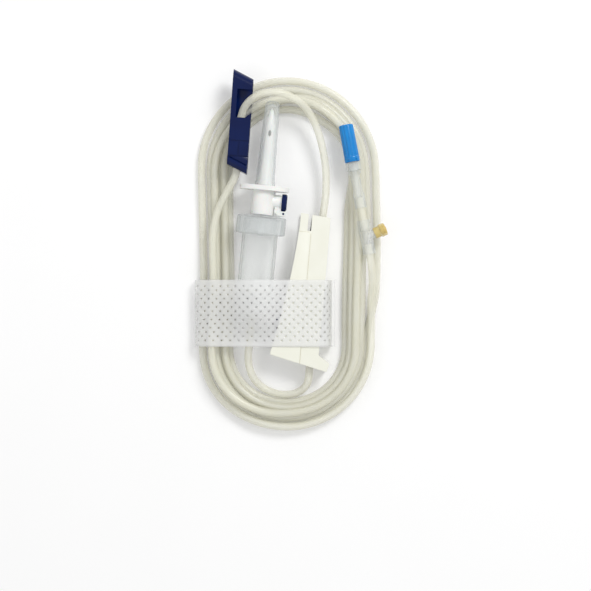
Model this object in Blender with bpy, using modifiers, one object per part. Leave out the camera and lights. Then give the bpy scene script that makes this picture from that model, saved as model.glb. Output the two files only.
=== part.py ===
"""Infusion set, coiled and lying flat: spike, drip chamber, clamps, Y-site, luer end and tubing.

Metres, +Z up. The set lies on z = 0 with its long way along Y. The origin is under the middle of
the moulded pieces. Each sub-assembly hangs on an empty whose Y axis runs along that piece.
"""

import math

import bmesh
import bpy
import numpy as np
from mathutils import Matrix, Vector
from mathutils.geometry import interpolate_bezier

MM = 0.001
GAP = 0.3 * MM
ROUND_STEPS = 24
FINE_STEPS = 16

# Tubing and its hank
TUBE_D = 4.0 * MM
HANK_WIDTH = 95.4 * MM
HANK_LENGTH = 188.7 * MM
HANK_BAND = 19.5 * MM
HANK_HEIGHT = 7.8 * MM

# The place of the frame's origin, measured from the middle of the hank
FRAME_X = 1.98 * MM
FRAME_Y = 19.28 * MM

# Drip end: spike, cap, vent and chamber on one axis
DRIP_PLACE = (-14.05 * MM, 16.96 * MM)
DRIP_TILT = math.radians(-5.5)
COLLAR_R = 12.9 * MM
COLLAR_BOTTOM = -4.8 * MM
COLLAR_TOP = 5.0 * MM
CHAMBER_R = 9.3 * MM
CHAMBER_WALL = 1.0 * MM
CHAMBER_BOTTOM = -42.0 * MM
CHAMBER_FOOT = 4.0 * MM
CHAMBER_FOOT_IN = 1.2 * MM
CHAMBER_FLOOR = 1.6 * MM
CHAMBER_NECK = 0.8 * MM
CHAMBER_NECK_DROP = 1.5 * MM
SOCKET_DEPTH = 7.0 * MM
OUTLET_LENGTH = 11.0 * MM
OUTLET_R = 3.6 * MM
SPIGOT_DEPTH = 7.0 * MM
DROP_TUBE_R = 1.6 * MM
DROP_TUBE_LENGTH = 9.0 * MM
FILTER_THICK = 1.2 * MM
FLANGE_AT = 19.2 * MM
FLANGE_THICK = 2.4 * MM
FLANGE_WIDTH = 26.0 * MM
FLANGE_HEIGHT = 17.0 * MM
NECK_R = 6.0 * MM
SPIKE_R = 3.6 * MM
SPIKE_TIP_R = 2.5 * MM
SPIKE_LENGTH = 41.0 * MM
SPIKE_POINT = 9.0 * MM
SPIKE_BORE_R = 1.1 * MM
FLANGE_CORE_R = 1.76 * MM
SEAT_R = 4.0 * MM
SEAT_LENGTH = 3.0 * MM
CAP_WALL = 0.7 * MM
CAP_TIP_R = 3.8 * MM
CAP_REACH = 65.0 * MM
CAP_TIP_FLAT = 0.75
CAP_TIP_EDGE = 0.5 * MM
CAP_TIP_ROUND = 2.0 * MM
CAP_TIP_WALL = 1.2 * MM
CAP_TIP_INNER = 3.0 * MM
COLLAR_PLATE = 1.6 * MM
COLLAR_WALL = 1.3 * MM
COLLAR_EDGE = 0.8 * MM
NECK_BORE_R = 3.6 * MM
SIDE_HOLE_AT = 49.0 * MM
SIDE_HOLE_WIDTH = 1.6 * MM
SIDE_HOLE_LENGTH = 3.2 * MM
TUBE_BORE_R = 1.4 * MM
FILTER_AT = -35.6 * MM
FILTER_LEDGE = 0.8 * MM
VENT_AT = 12.6 * MM
VENT_R = 3.7 * MM
VENT_REACH = 9.3 * MM
VENT_BORE_R = 2.6 * MM
VENT_FILTER_THICK = 0.8 * MM
VENT_POCKET = 2.4 * MM
VENT_ROOT = 1.5 * MM
LID_R = 4.5 * MM
LID_THICK = 2.8 * MM
LID_RIM = 0.8 * MM
LID_EDGE = 0.6 * MM
LID_WEB_ROOT = 1.0 * MM
LID_KNUCKLE = 3.0 * MM
HINGE_PIN_R = 0.5 * MM
PIN_PLAY = 0.1 * MM
EAR_WALL = 0.7 * MM
EAR_DEPTH = 3.0 * MM
EAR_SLOPE = 1.5 * MM
EAR_TOE = 0.6 * MM
EAR_ROOT = 1.4 * MM
HINGE_X = VENT_REACH + GAP + LID_THICK / 2
LID_TO_PIN = 1.4 * MM
VENT_HINGE_Y = VENT_AT - LID_R - LID_TO_PIN

# Roller clamp, lying on its side
CLAMP_PLACE = (15.6 * MM, -56.2 * MM)
CLAMP_TILT = math.radians(-5.0)
CLAMP_LENGTH = 77.0 * MM
CLAMP_WIDTH = 14.0 * MM
CLAMP_WALL = 1.5 * MM
CLAMP_BASE = 1.8 * MM
CLAMP_LIFT = 0.7 * MM
CLAMP_OPEN_TOP = 15.6 * MM
CLAMP_OPEN_LOW = 25.2 * MM
CLAMP_PANEL_X = -9.7 * MM
CLAMP_PANEL_TOP = 68.6 * MM
CLAMP_PANEL_STEP = 0.45 * MM
CLAMP_PANEL_ROUND = 1.5 * MM
CLAMP_CREST = 1.4 * MM
CLAMP_FLARE = 1.6
CLAMP_FLARE_START = 6.0 * MM
CLAMP_TOE = 1.6 * MM
CLAMP_HEEL = 1.2 * MM
CLAMP_HEEL_RISE = 1.0 * MM
TRACK_PAST_TOP = 4.0 * MM
ROLLER_R = 9.2 * MM
ROLLER_REST_Y = 18.5 * MM
ROLLER_SHUT_Y = 58.0 * MM
ROLLER_OPEN_TRAVEL = 5.0 * MM
PINCHED_TUBE = 1.2 * MM
STUB_R = 1.7 * MM
STUB_REACH = 0.7 * MM
TRACK_DEPTH = 0.8 * MM
ROLLER_TEETH = 24
ROLLER_PLAY = 0.4 * MM
KNURL = 0.5 * MM
CLAMP_FOOT_Y = 5.0 * MM
CLAMP_FOOT_REACH = 6.0 * MM
CLAMP_FOOT_DROP = 3.3 * MM
SLOT_WIDTH = 1.9 * MM
SLOT_LENGTH = 7.6 * MM
TUBE_IN_CLAMP_X = -(CLAMP_BASE + GAP + TUBE_D / 2)
TUBE_PAST_CLAMP = 5.0 * MM
CLAMP_TUBE_TOP = CLAMP_LENGTH + 3.0 * MM

# On-off clamp on the line
PINCH_PLACE = (-24.8 * MM, 70.8 * MM)
PINCH_TILT = math.radians(-4.0)
PINCH_LENGTH = 50.0 * MM
PINCH_WIDTH = 10.6 * MM
PINCH_RAKE = math.radians(24.0)
PINCH_STRAP = 1.6 * MM
PINCH_RIB = 0.7 * MM
PINCH_POST = 3.0 * MM
PINCH_RIB_AT = -14.0 * MM
PINCH_TUBE_Z = PINCH_STRAP + PINCH_RIB + GAP + TUBE_D / 2
NOTCH_PAST_MIDDLE = 2.6 * MM
NOTCH_LOW = 1.9 * MM
NOTCH_HIGH = 16.7 * MM
PINCH_PANEL_LOW = -18.3 * MM
PINCH_PANEL_HIGH = -10.3 * MM
PINCH_LINE = 0.7 * MM
PINCH_RIB_HALF = 1.0 * MM
HOOK_GAP = 1.0 * MM
HOOK_BEVEL = 0.6 * MM
HOOK_LIP = 1.3 * MM
HOOK_HIGH = 1.8 * MM
HOOK_LOW = 0.3 * MM

# Delivery end: Y-site and luer connector on one axis
DELIVERY_PLACE = (41.1 * MM, 10.6 * MM)
DELIVERY_TILT = math.radians(10.5)
CAP_R = 4.0 * MM
LUER_CAP_START = 40.0 * MM
LUER_CAP_LENGTH = 19.7 * MM
LUER_CAP_WALL = 0.7 * MM
NUT_R = 3.9 * MM
NUT_START = 35.4 * MM
LUER_STEM_START = 15.5 * MM
LUER_SOCKET_R = 3.0 * MM
LUER_TIP_R = 2.0 * MM
LUER_TIP_END = 52.0 * MM
SITE_R = 3.3 * MM
SITE_HALF = 9.0 * MM
PORT_ANGLE = math.radians(76.0)
PORT_R = 3.4 * MM
SEPTUM_R = 2.3 * MM
PORT_WALL = 0.8 * MM
PORT_STEP = 0.5 * MM
PORT_HEAD = 3.2 * MM
ARM_LENGTH = 7.0 * MM
PORT_START = 4.6 * MM
PORT_END = 11.0 * MM
SITE_STOP = 3.0 * MM
LUER_SOCKET = 6.0 * MM
LUER_TAPER = 0.15 * MM
NUT_WEB = 1.5 * MM
NUT_END = 46.0 * MM
CAP_COLLAR = 2.2 * MM
CAP_COLLAR_LAP = 0.2 * MM
CAP_BORE_PAST_TIP = 1.0 * MM
NOTCH_SHARE = 0.6
STEM_WALL = 0.3 * MM
STEM_HEAD_WALL = 1.3 * MM
STEM_HEAD = 1.5 * MM
STEM_SLOPE = 1.0 * MM
STEM_TAPER = 3.0 * MM
STEM_BORE_R = 1.12 * MM
SEPTUM_EDGE = 0.4 * MM
SEPTUM_DOME = 0.3 * MM
SEAT_LEDGE = 1.0 * MM
CAP_FLUTES = 12
CAP_DRAFT = 0.15 * MM
FLUTE = 0.4 * MM
CAP_NOTCHES = 6
NOTCH_WIDTH = 1.0 * MM

# Retaining band
BAND_THICK = 0.4 * MM
BAND_LOW_Y = -46.6 * MM
BAND_HIGH_Y = -11.7 * MM
BAND_RIGHT_X = 23.3 * MM
BAND_FULL_Y = -26.0 * MM
BAND_SLACK = 1.2 * MM
BAND_ARCH_LEFT = 118.0
BAND_ARCH_RIGHT = 64.0
BAND_LINE_X = -40.0 * MM
BAND_CLAMP_X = 2.0 * MM
BAND_CORNER = 0.6 * MM
BAND_LINE_HALF = 1.8 * MM
BAND_RISE = 1.0 * MM
BAND_FALL_X = 3.0 * MM
PUNCH_R = 0.8 * MM
PUNCH_LOW = 2.0 * MM
PUNCH_PITCH = 4.6 * MM
PUNCH_COLUMNS = 13
PUNCH_ROWS = 7
PUNCH_MARGIN = 3.6 * MM


def collection(name):
    """A new collection under the scene's own."""
    made = bpy.data.collections.new(name)
    bpy.context.scene.collection.children.link(made)
    return made


def material(name, colour, roughness, alpha=1.0):
    """A plain Principled material."""
    made = bpy.data.materials.new(name)
    made.use_nodes = True
    shader = made.node_tree.nodes["Principled BSDF"]
    shader.inputs["Base Color"].default_value = (*colour, 1.0)
    shader.inputs["Roughness"].default_value = roughness
    shader.inputs["Metallic"].default_value = 0.0
    shader.inputs["Alpha"].default_value = alpha
    return made


def clear_scene():
    """Removes every object of the scene."""
    for item in list(bpy.data.objects):
        bpy.data.objects.remove(item, do_unlink=True)


clear_scene()
PARTS = collection("infusion_set")
TOOLS = collection("cutters")
WHITE = material("white_abs", (0.86, 0.86, 0.84), 0.4)
CLEAR = material("clear_plastic", (0.85, 0.87, 0.87), 0.1, 0.35)
NAVY = material("navy_polypropylene", (0.01, 0.03, 0.2), 0.35)
CREAM = material("cream_polystyrene", (0.86, 0.83, 0.7), 0.4)
AZURE = material("azure_polyethylene", (0.01, 0.2, 0.65), 0.35)
AMBER = material("amber_plastic", (0.75, 0.48, 0.08), 0.35)
RUBBER = material("septum_rubber", (0.6, 0.45, 0.25), 0.8)
MEMBRANE = material("filter_membrane", (0.8, 0.8, 0.76), 0.9)
TUBING = material("pvc_tubing", (0.84, 0.82, 0.7), 0.2)
FILM = material("perforated_film", (0.88, 0.89, 0.88), 0.5)


def frame(name, place, z, tilt, parent):
    """An empty that carries a sub-assembly: Y runs along the piece, Z stays up."""
    empty = bpy.data.objects.new(name, None)
    PARTS.objects.link(empty)
    empty.parent = parent
    empty.location = (place[0], place[1], z)
    empty.rotation_euler = (0, 0, tilt)
    return empty


ROOT = frame("lay", (-FRAME_X, -FRAME_Y), 0, 0, None)
CHAMBER_Z = COLLAR_R
DRIP = frame("drip_end", DRIP_PLACE, CHAMBER_Z, DRIP_TILT, ROOT)
CLAMP = frame("roller_clamp", CLAMP_PLACE, CLAMP_LIFT + CLAMP_WIDTH / 2, CLAMP_TILT, ROOT)
PINCH = frame("on_off_clamp", PINCH_PLACE, HANK_HEIGHT + GAP, PINCH_TILT, ROOT)
DELIVERY_Z = HANK_HEIGHT + GAP + CAP_R
DELIVERY = frame("delivery_end", DELIVERY_PLACE, DELIVERY_Z, DELIVERY_TILT, ROOT)
ALONG_Y = (-math.pi / 2, 0, 0)


def keep(item, parent, finish=None, location=(0, 0, 0), rotation=(0, 0, 0)):
    """Places a piece under its empty; without a finish it is a cutter."""
    (PARTS if finish else TOOLS).objects.link(item)
    item.parent = parent
    item.location = location
    item.rotation_euler = rotation
    if finish:
        item.data.materials.clear()
        item.data.materials.append(finish)
    else:
        item.hide_render = True
        item.display_type = "WIRE"
    return item


def turned(name, profile, steps=ROUND_STEPS):
    """A closed ring or a pole-to-pole profile of (radius, height), turned about Z.

    The outer side is listed from the top down.
    """
    mesh = bpy.data.meshes.new(name)
    points = [(r, 0, z) for r, z in profile]
    closed = min(r for r, z in profile) > 0
    count = len(points)
    edges = [(i, (i + 1) % count) for i in range(count if closed else count - 1)]
    mesh.from_pydata(points, edges, [])
    item = bpy.data.objects.new(name, mesh)
    screw = item.modifiers.new("turn", "SCREW")
    screw.steps = steps
    screw.render_steps = steps
    screw.use_merge_vertices = True
    screw.merge_threshold = 0.00001
    screw.use_smooth_shade = True
    return item


def solid_from(item):
    """A free mesh of what the modifiers or the curve show, in the item's own axes."""
    bpy.context.scene.collection.objects.link(item)
    bpy.context.view_layer.update()
    evaluated = item.evaluated_get(bpy.context.evaluated_depsgraph_get())
    mesh = bpy.data.meshes.new_from_object(evaluated)
    work = bmesh.new()
    work.from_mesh(mesh)
    bmesh.ops.remove_doubles(work, verts=work.verts, dist=0.000001)
    work.to_mesh(mesh)
    work.free()
    name = item.name
    bpy.data.objects.remove(item, do_unlink=True)
    return bpy.data.objects.new(name, mesh)


def plate(name, outline, thickness, holes=()):
    """A flat outline in XY, extruded to both sides of z = 0, as a mesh."""
    curve = bpy.data.curves.new(name, "CURVE")
    curve.dimensions = "2D"
    curve.fill_mode = "BOTH"
    curve.extrude = thickness / 2
    for loop in (outline, *holes):
        spline = curve.splines.new("POLY")
        spline.points.add(len(loop) - 1)
        for point, (x, y) in zip(spline.points, loop):
            point.co = (x, y, 0, 1)
        spline.use_cyclic_u = True
    return solid_from(bpy.data.objects.new(name, curve))


def block(name, low, high):
    """A box from its two corners."""
    work = bmesh.new()
    bmesh.ops.create_cube(work, size=1)
    size = Vector(high) - Vector(low)
    middle = (Vector(high) + Vector(low)) / 2
    bmesh.ops.transform(work, matrix=Matrix.LocRotScale(middle, None, size), verts=work.verts)
    mesh = bpy.data.meshes.new(name)
    work.to_mesh(mesh)
    work.free()
    return bpy.data.objects.new(name, mesh)


def rod(name, radius, low, high, steps=FINE_STEPS):
    """A cylinder along Z between two heights."""
    work = bmesh.new()
    bmesh.ops.create_cone(
        work, cap_ends=True, segments=steps, radius1=radius, radius2=radius, depth=high - low
    )
    bmesh.ops.translate(work, vec=(0, 0, (low + high) / 2), verts=work.verts)
    mesh = bpy.data.meshes.new(name)
    work.to_mesh(mesh)
    work.free()
    return bpy.data.objects.new(name, mesh)


def combine(item, tool, operation):
    """One Boolean of an item with a tool."""
    step = item.modifiers.new(tool.name, "BOOLEAN")
    step.object = tool
    step.operation = operation
    step.solver = "EXACT"
    return step


def arc(centre, radius, start, end, count):
    """Points on an arc in the plane, angles in degrees."""
    angles = np.radians(np.linspace(start, end, count))
    return [(centre[0] + radius * math.cos(a), centre[1] + radius * math.sin(a)) for a in angles]


def smooth_route(points, spacing):
    """Evenly spaced points read from a smooth curve through the chosen ones."""
    points = [Vector(p) for p in points]
    ends = [2 * points[0] - points[1], *points, 2 * points[-1] - points[-2]]
    fine = []
    for i in range(1, len(ends) - 2):
        before, start, end, after = ends[i - 1 : i + 3]
        reach = (end - start).length / 3
        first = start + (end - before).normalized() * reach
        second = end - (after - start).normalized() * reach
        fine += interpolate_bezier(start, first, second, end, 24)[:-1]
    fine.append(points[-1])
    run = np.cumsum([0] + [(b - a).length for a, b in zip(fine, fine[1:])])
    count = max(3, round(run[-1] / spacing) + 1)
    table = np.array([tuple(p) for p in fine])
    where = np.linspace(0, run[-1], count)
    return np.stack([np.interp(where, run, table[:, k]) for k in range(3)], axis=1)


def tubing(name, points, parent, spacing=2.5 * TUBE_D):
    """A stretch of tubing along a smooth route."""
    curve = bpy.data.curves.new(name, "CURVE")
    curve.dimensions = "3D"
    curve.bevel_depth = TUBE_D / 2
    curve.bevel_resolution = 3
    curve.use_fill_caps = True
    curve.render_resolution_u = 0
    route = smooth_route(points, spacing)
    spline = curve.splines.new("POLY")
    spline.points.add(len(route) - 1)
    for point, place in zip(spline.points, route):
        point.co = (*place, 1)
    item = bpy.data.objects.new(name, curve)
    return keep(item, parent, TUBING)


def drip_end():
    """Spike with its flange and vent, cap, chamber top, chamber and both filters."""
    flange_low = FLANGE_AT - FLANGE_THICK / 2
    flange_high = FLANGE_AT + FLANGE_THICK / 2
    seat_top = flange_high + SEAT_LENGTH
    tip = flange_high + SPIKE_LENGTH
    neck_low = COLLAR_TOP + GAP
    plate_low = COLLAR_TOP - COLLAR_PLATE
    spike = solid_from(
        turned(
            "spike_shaft",
            [
                (0, tip),
                (SPIKE_TIP_R * 0.45, tip - SPIKE_POINT * 0.25),
                (SPIKE_TIP_R, tip - SPIKE_POINT),
                (SPIKE_R, seat_top + GAP),
                (SEAT_R, seat_top),
                (SEAT_R, flange_high - GAP),
                (NECK_R, flange_low + GAP),
                (NECK_R, neck_low),
                (NECK_BORE_R, neck_low),
                (NECK_BORE_R, flange_low),
                (SPIKE_BORE_R, flange_high),
                (SPIKE_BORE_R, SIDE_HOLE_AT),
                (0, SIDE_HOLE_AT + SPIKE_BORE_R),
            ],
        )
    )
    spike.name = "spike_body"
    keep(spike, DRIP, WHITE, rotation=ALONG_Y)
    oval = [
        (FLANGE_WIDTH / 2 * math.cos(a), FLANGE_HEIGHT / 2 * math.sin(a))
        for a in np.linspace(0, 2 * math.pi, 32, endpoint=False)
    ]
    core = arc((0, 0), FLANGE_CORE_R, 0, 330, 12)
    flange = keep(plate("flange", oval, FLANGE_THICK, [core]), DRIP, location=(0, FLANGE_AT, 0),
                  rotation=ALONG_Y)
    combine(spike, flange, "UNION")
    to_x = (0, math.pi / 2, 0)
    port = keep(rod("vent_port", VENT_R, NECK_R - VENT_ROOT, VENT_REACH), DRIP,
                location=(0, VENT_AT, 0), rotation=to_x)
    combine(spike, port, "UNION")
    ear_r = HINGE_PIN_R + PIN_PLAY + EAR_WALL
    ear_low = VENT_HINGE_Y - ear_r
    ear_root = VENT_AT - VENT_R + EAR_ROOT
    ear = [
        (VENT_REACH - EAR_DEPTH, ear_root),
        (VENT_REACH - EAR_DEPTH, ear_low + EAR_SLOPE),
        (VENT_REACH - EAR_TOE, ear_low),
        *arc((HINGE_X, VENT_HINGE_Y), ear_r, -90, 90, 9),
        (VENT_REACH, VENT_HINGE_Y + ear_r),
        (VENT_REACH, ear_root),
    ]
    for side, tag in ((1, "upper"), (-1, "lower")):
        tool = plate(f"vent_ear_{tag}", ear, EAR_WALL)
        keep(tool, DRIP, location=(0, 0, side * (LID_KNUCKLE / 2 + GAP + EAR_WALL / 2)))
        combine(spike, tool, "UNION")
    pin_hole = rod("vent_pin_hole", HINGE_PIN_R + PIN_PLAY, -LID_KNUCKLE, LID_KNUCKLE)
    keep(pin_hole, DRIP, location=(HINGE_X, VENT_HINGE_Y, 0))
    combine(spike, pin_hole, "DIFFERENCE")
    pocket = keep(rod("vent_pocket", VENT_BORE_R, VENT_REACH - VENT_POCKET, VENT_REACH + MM), DRIP,
                  location=(0, VENT_AT, 0), rotation=to_x)
    combine(spike, pocket, "DIFFERENCE")
    airway = keep(rod("airway", SPIKE_BORE_R, NECK_BORE_R / 2, VENT_REACH), DRIP,
                  location=(0, VENT_AT, 0), rotation=to_x)
    combine(spike, airway, "DIFFERENCE")
    hole = [
        (SIDE_HOLE_WIDTH / 2 * math.cos(a), SIDE_HOLE_LENGTH / 2 * math.sin(a))
        for a in np.linspace(0, 2 * math.pi, 16, endpoint=False)
    ]
    eye = keep(plate("side_eye", hole, 2 * SPIKE_R), DRIP,
               location=(0, SIDE_HOLE_AT - SPIKE_BORE_R, SPIKE_R))
    combine(spike, eye, "DIFFERENCE")

    cap = turned(
        "spike_cap",
        [
            (0, CAP_REACH),
            (CAP_TIP_R * CAP_TIP_FLAT, CAP_REACH - CAP_TIP_EDGE),
            (CAP_TIP_R, CAP_REACH - CAP_TIP_ROUND),
            (SEAT_R + GAP + CAP_WALL, flange_high + GAP),
            (SEAT_R + GAP, flange_high + GAP),
            (CAP_TIP_R - CAP_WALL, CAP_REACH - CAP_TIP_INNER),
            (0, CAP_REACH - CAP_TIP_WALL),
        ],
    )
    keep(cap, DRIP, CLEAR, rotation=ALONG_Y)

    filter_at = VENT_REACH - VENT_POCKET + GAP
    disc = rod("vent_filter", VENT_BORE_R - GAP, filter_at, filter_at + VENT_FILTER_THICK)
    keep(disc, DRIP, MEMBRANE, location=(0, VENT_AT, 0), rotation=to_x)

    lid_x = VENT_REACH + GAP
    lid = turned(
        "vent_cap",
        [
            (0, LID_THICK),
            (LID_R - LID_EDGE, LID_THICK),
            (LID_R, LID_THICK - LID_EDGE),
            (LID_R, 0),
            (LID_R - LID_RIM, 0),
            (LID_R - LID_RIM, LID_RIM),
            (0, LID_RIM),
        ],
    )
    lid = solid_from(lid)
    hinge_at = Vector((HINGE_X, VENT_HINGE_Y, 0))
    lid.data.transform(
        Matrix.Translation(Vector((lid_x, VENT_AT, 0)) - hinge_at) @ Matrix.Rotation(math.pi / 2, 4, "Y")
    )
    keep(lid, DRIP, NAVY, location=hinge_at)
    pin_reach = LID_KNUCKLE / 2 + GAP + EAR_WALL
    combine(lid, keep(rod("lid_pin", HINGE_PIN_R, -pin_reach, pin_reach), lid), "UNION")
    web = block(
        "lid_web",
        (-HINGE_PIN_R, 0, -LID_KNUCKLE / 2),
        (HINGE_PIN_R, LID_TO_PIN + LID_WEB_ROOT, LID_KNUCKLE / 2),
    )
    combine(lid, keep(web, lid), "UNION")

    spigot_r = CHAMBER_R - CHAMBER_WALL - GAP
    drop_end = plate_low - DROP_TUBE_LENGTH
    top = turned(
        "chamber_top",
        [
            (COLLAR_R - COLLAR_EDGE, COLLAR_TOP),
            (COLLAR_R, COLLAR_TOP - COLLAR_EDGE),
            (COLLAR_R, COLLAR_BOTTOM),
            (COLLAR_R - COLLAR_WALL, COLLAR_BOTTOM),
            (COLLAR_R - COLLAR_WALL, plate_low),
            (spigot_r, plate_low),
            (spigot_r, plate_low - SPIGOT_DEPTH),
            (spigot_r - COLLAR_WALL, plate_low - SPIGOT_DEPTH),
            (spigot_r - COLLAR_WALL, plate_low),
            (DROP_TUBE_R, plate_low),
            (DROP_TUBE_R, drop_end),
            (DROP_TUBE_R / 2, drop_end),
            (DROP_TUBE_R / 2, COLLAR_TOP),
        ],
    )
    keep(top, DRIP, CLEAR, rotation=ALONG_Y)

    inner = CHAMBER_R - CHAMBER_WALL
    outlet_low = CHAMBER_BOTTOM - OUTLET_LENGTH
    socket_r = TUBE_D / 2 + GAP
    chamber = turned(
        "drip_chamber",
        [
            (CHAMBER_R, plate_low - GAP),
            (CHAMBER_R, CHAMBER_BOTTOM + CHAMBER_FOOT),
            (CHAMBER_R - CHAMBER_FOOT_IN, CHAMBER_BOTTOM + CHAMBER_FLOOR),
            (OUTLET_R + CHAMBER_NECK, CHAMBER_BOTTOM),
            (OUTLET_R, CHAMBER_BOTTOM - CHAMBER_NECK_DROP),
            (OUTLET_R, outlet_low),
            (socket_r, outlet_low),
            (socket_r, outlet_low + SOCKET_DEPTH),
            (TUBE_BORE_R, outlet_low + SOCKET_DEPTH),
            (TUBE_BORE_R, CHAMBER_BOTTOM + CHAMBER_FLOOR),
            (inner - FILTER_LEDGE, FILTER_AT - CHAMBER_FOOT_IN),
            (inner - FILTER_LEDGE, FILTER_AT),
            (inner, FILTER_AT),
            (inner, plate_low - GAP),
        ],
    )
    keep(chamber, DRIP, CLEAR, rotation=ALONG_Y)
    sieve = rod("fluid_filter", inner - GAP, FILTER_AT + GAP, FILTER_AT + GAP + FILTER_THICK, ROUND_STEPS)
    keep(sieve, DRIP, MEMBRANE, rotation=ALONG_Y)


def track(y):
    """The roller centre's distance from the frame's axis at a height along the clamp."""
    clear = CLAMP_BASE + GAP + TUBE_D + GAP + ROLLER_R
    shut = CLAMP_BASE + PINCHED_TUBE + ROLLER_R
    share = (y - ROLLER_REST_Y) / (ROLLER_SHUT_Y - ROLLER_REST_Y)
    return -(clear + (shut - clear) * share)


def clamp_edge(y):
    """The open edge of the clamp's side wall: it flares towards the bottom."""
    fall = (CLAMP_LENGTH - y) / (CLAMP_LENGTH - CLAMP_FOOT_Y)
    return -(CLAMP_OPEN_TOP + (CLAMP_OPEN_LOW - CLAMP_OPEN_TOP) * fall**CLAMP_FLARE)


def roller_clamp():
    """Side walls with tracks on a common base, the roller between them and the tube along the base."""
    outline = [(0, CLAMP_LENGTH), (-CLAMP_OPEN_TOP, CLAMP_LENGTH + CLAMP_CREST)]
    levels = np.linspace(CLAMP_LENGTH - CLAMP_FLARE_START, CLAMP_FOOT_Y, 9)
    outline += [(clamp_edge(y), y) for y in levels]
    outline += [
        (-CLAMP_OPEN_LOW, CLAMP_FOOT_Y - CLAMP_TOE),
        (CLAMP_FOOT_REACH - CLAMP_HEEL, -CLAMP_FOOT_DROP),
        (CLAMP_FOOT_REACH, CLAMP_HEEL_RISE),
        (0, CLAMP_FOOT_Y),
    ]
    body = keep(plate("clamp_body", outline, CLAMP_WIDTH), CLAMP, CREAM)
    far = 2 * CLAMP_LENGTH
    inside = CLAMP_WIDTH / 2 - CLAMP_WALL
    channel = block("channel", (-far, -far, -inside), (-CLAMP_BASE, far, inside))
    combine(body, keep(channel, CLAMP), "DIFFERENCE")
    turn = CLAMP_PANEL_ROUND
    corner = arc((CLAMP_PANEL_X - turn, CLAMP_PANEL_TOP - turn), turn, 90, 0, 6)
    step = [(-far, CLAMP_PANEL_TOP), *corner, (CLAMP_PANEL_X, -far), (far, -far), (far, far), (-far, far)]
    for side, tag in ((1, "upper"), (-1, "lower")):
        tool = plate(f"panel_step_{tag}", step, 2 * CLAMP_PANEL_STEP)
        keep(tool, CLAMP, location=(0, 0, side * CLAMP_WIDTH / 2))
        combine(body, tool, "DIFFERENCE")
    low = Vector((track(ROLLER_REST_Y - ROLLER_OPEN_TRAVEL), ROLLER_REST_Y - ROLLER_OPEN_TRAVEL))
    high = Vector((track(CLAMP_LENGTH), CLAMP_LENGTH + TRACK_PAST_TOP))
    width = STUB_R + GAP
    lean = math.degrees(math.atan2(*(high - low)))
    groove = arc(low, width, 180 - lean, 360 - lean, 10)
    along = (high - low).normalized()
    across = Vector((along.y, -along.x)) * width
    groove += [tuple(high + across), tuple(high - across)]
    tool = keep(plate("track_grooves", groove, 2 * (inside + TRACK_DEPTH)), CLAMP)
    combine(body, tool, "DIFFERENCE")
    slot_x = track(CLAMP_LENGTH)
    slot = block(
        "entry_slot",
        (slot_x - SLOT_WIDTH / 2, CLAMP_LENGTH - SLOT_LENGTH, -CLAMP_WIDTH),
        (slot_x + SLOT_WIDTH / 2, far, CLAMP_WIDTH),
    )
    combine(body, keep(slot, CLAMP), "DIFFERENCE")

    rim = []
    for i in range(ROLLER_TEETH):
        base = 2 * math.pi * i / ROLLER_TEETH
        for share, radius in ((0, ROLLER_R), (0.5, ROLLER_R), (0.62, ROLLER_R - KNURL),
                              (0.88, ROLLER_R - KNURL)):
            a = base + share * 2 * math.pi / ROLLER_TEETH
            rim.append((radius * math.cos(a), radius * math.sin(a)))
    wheel = plate("clamp_roller", rim, 2 * (inside - ROLLER_PLAY))
    keep(wheel, CLAMP, NAVY, location=(track(ROLLER_REST_Y), ROLLER_REST_Y, 0))
    reach = inside + STUB_REACH - ROLLER_PLAY / 2
    combine(wheel, keep(rod("roller_stubs", STUB_R, -reach, reach), wheel), "UNION")

    run = [(TUBE_IN_CLAMP_X, y, 0) for y in (-TUBE_PAST_CLAMP, CLAMP_LENGTH / 2, CLAMP_TUBE_TOP)]
    tubing("tube_in_clamp", run, CLAMP)


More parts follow.
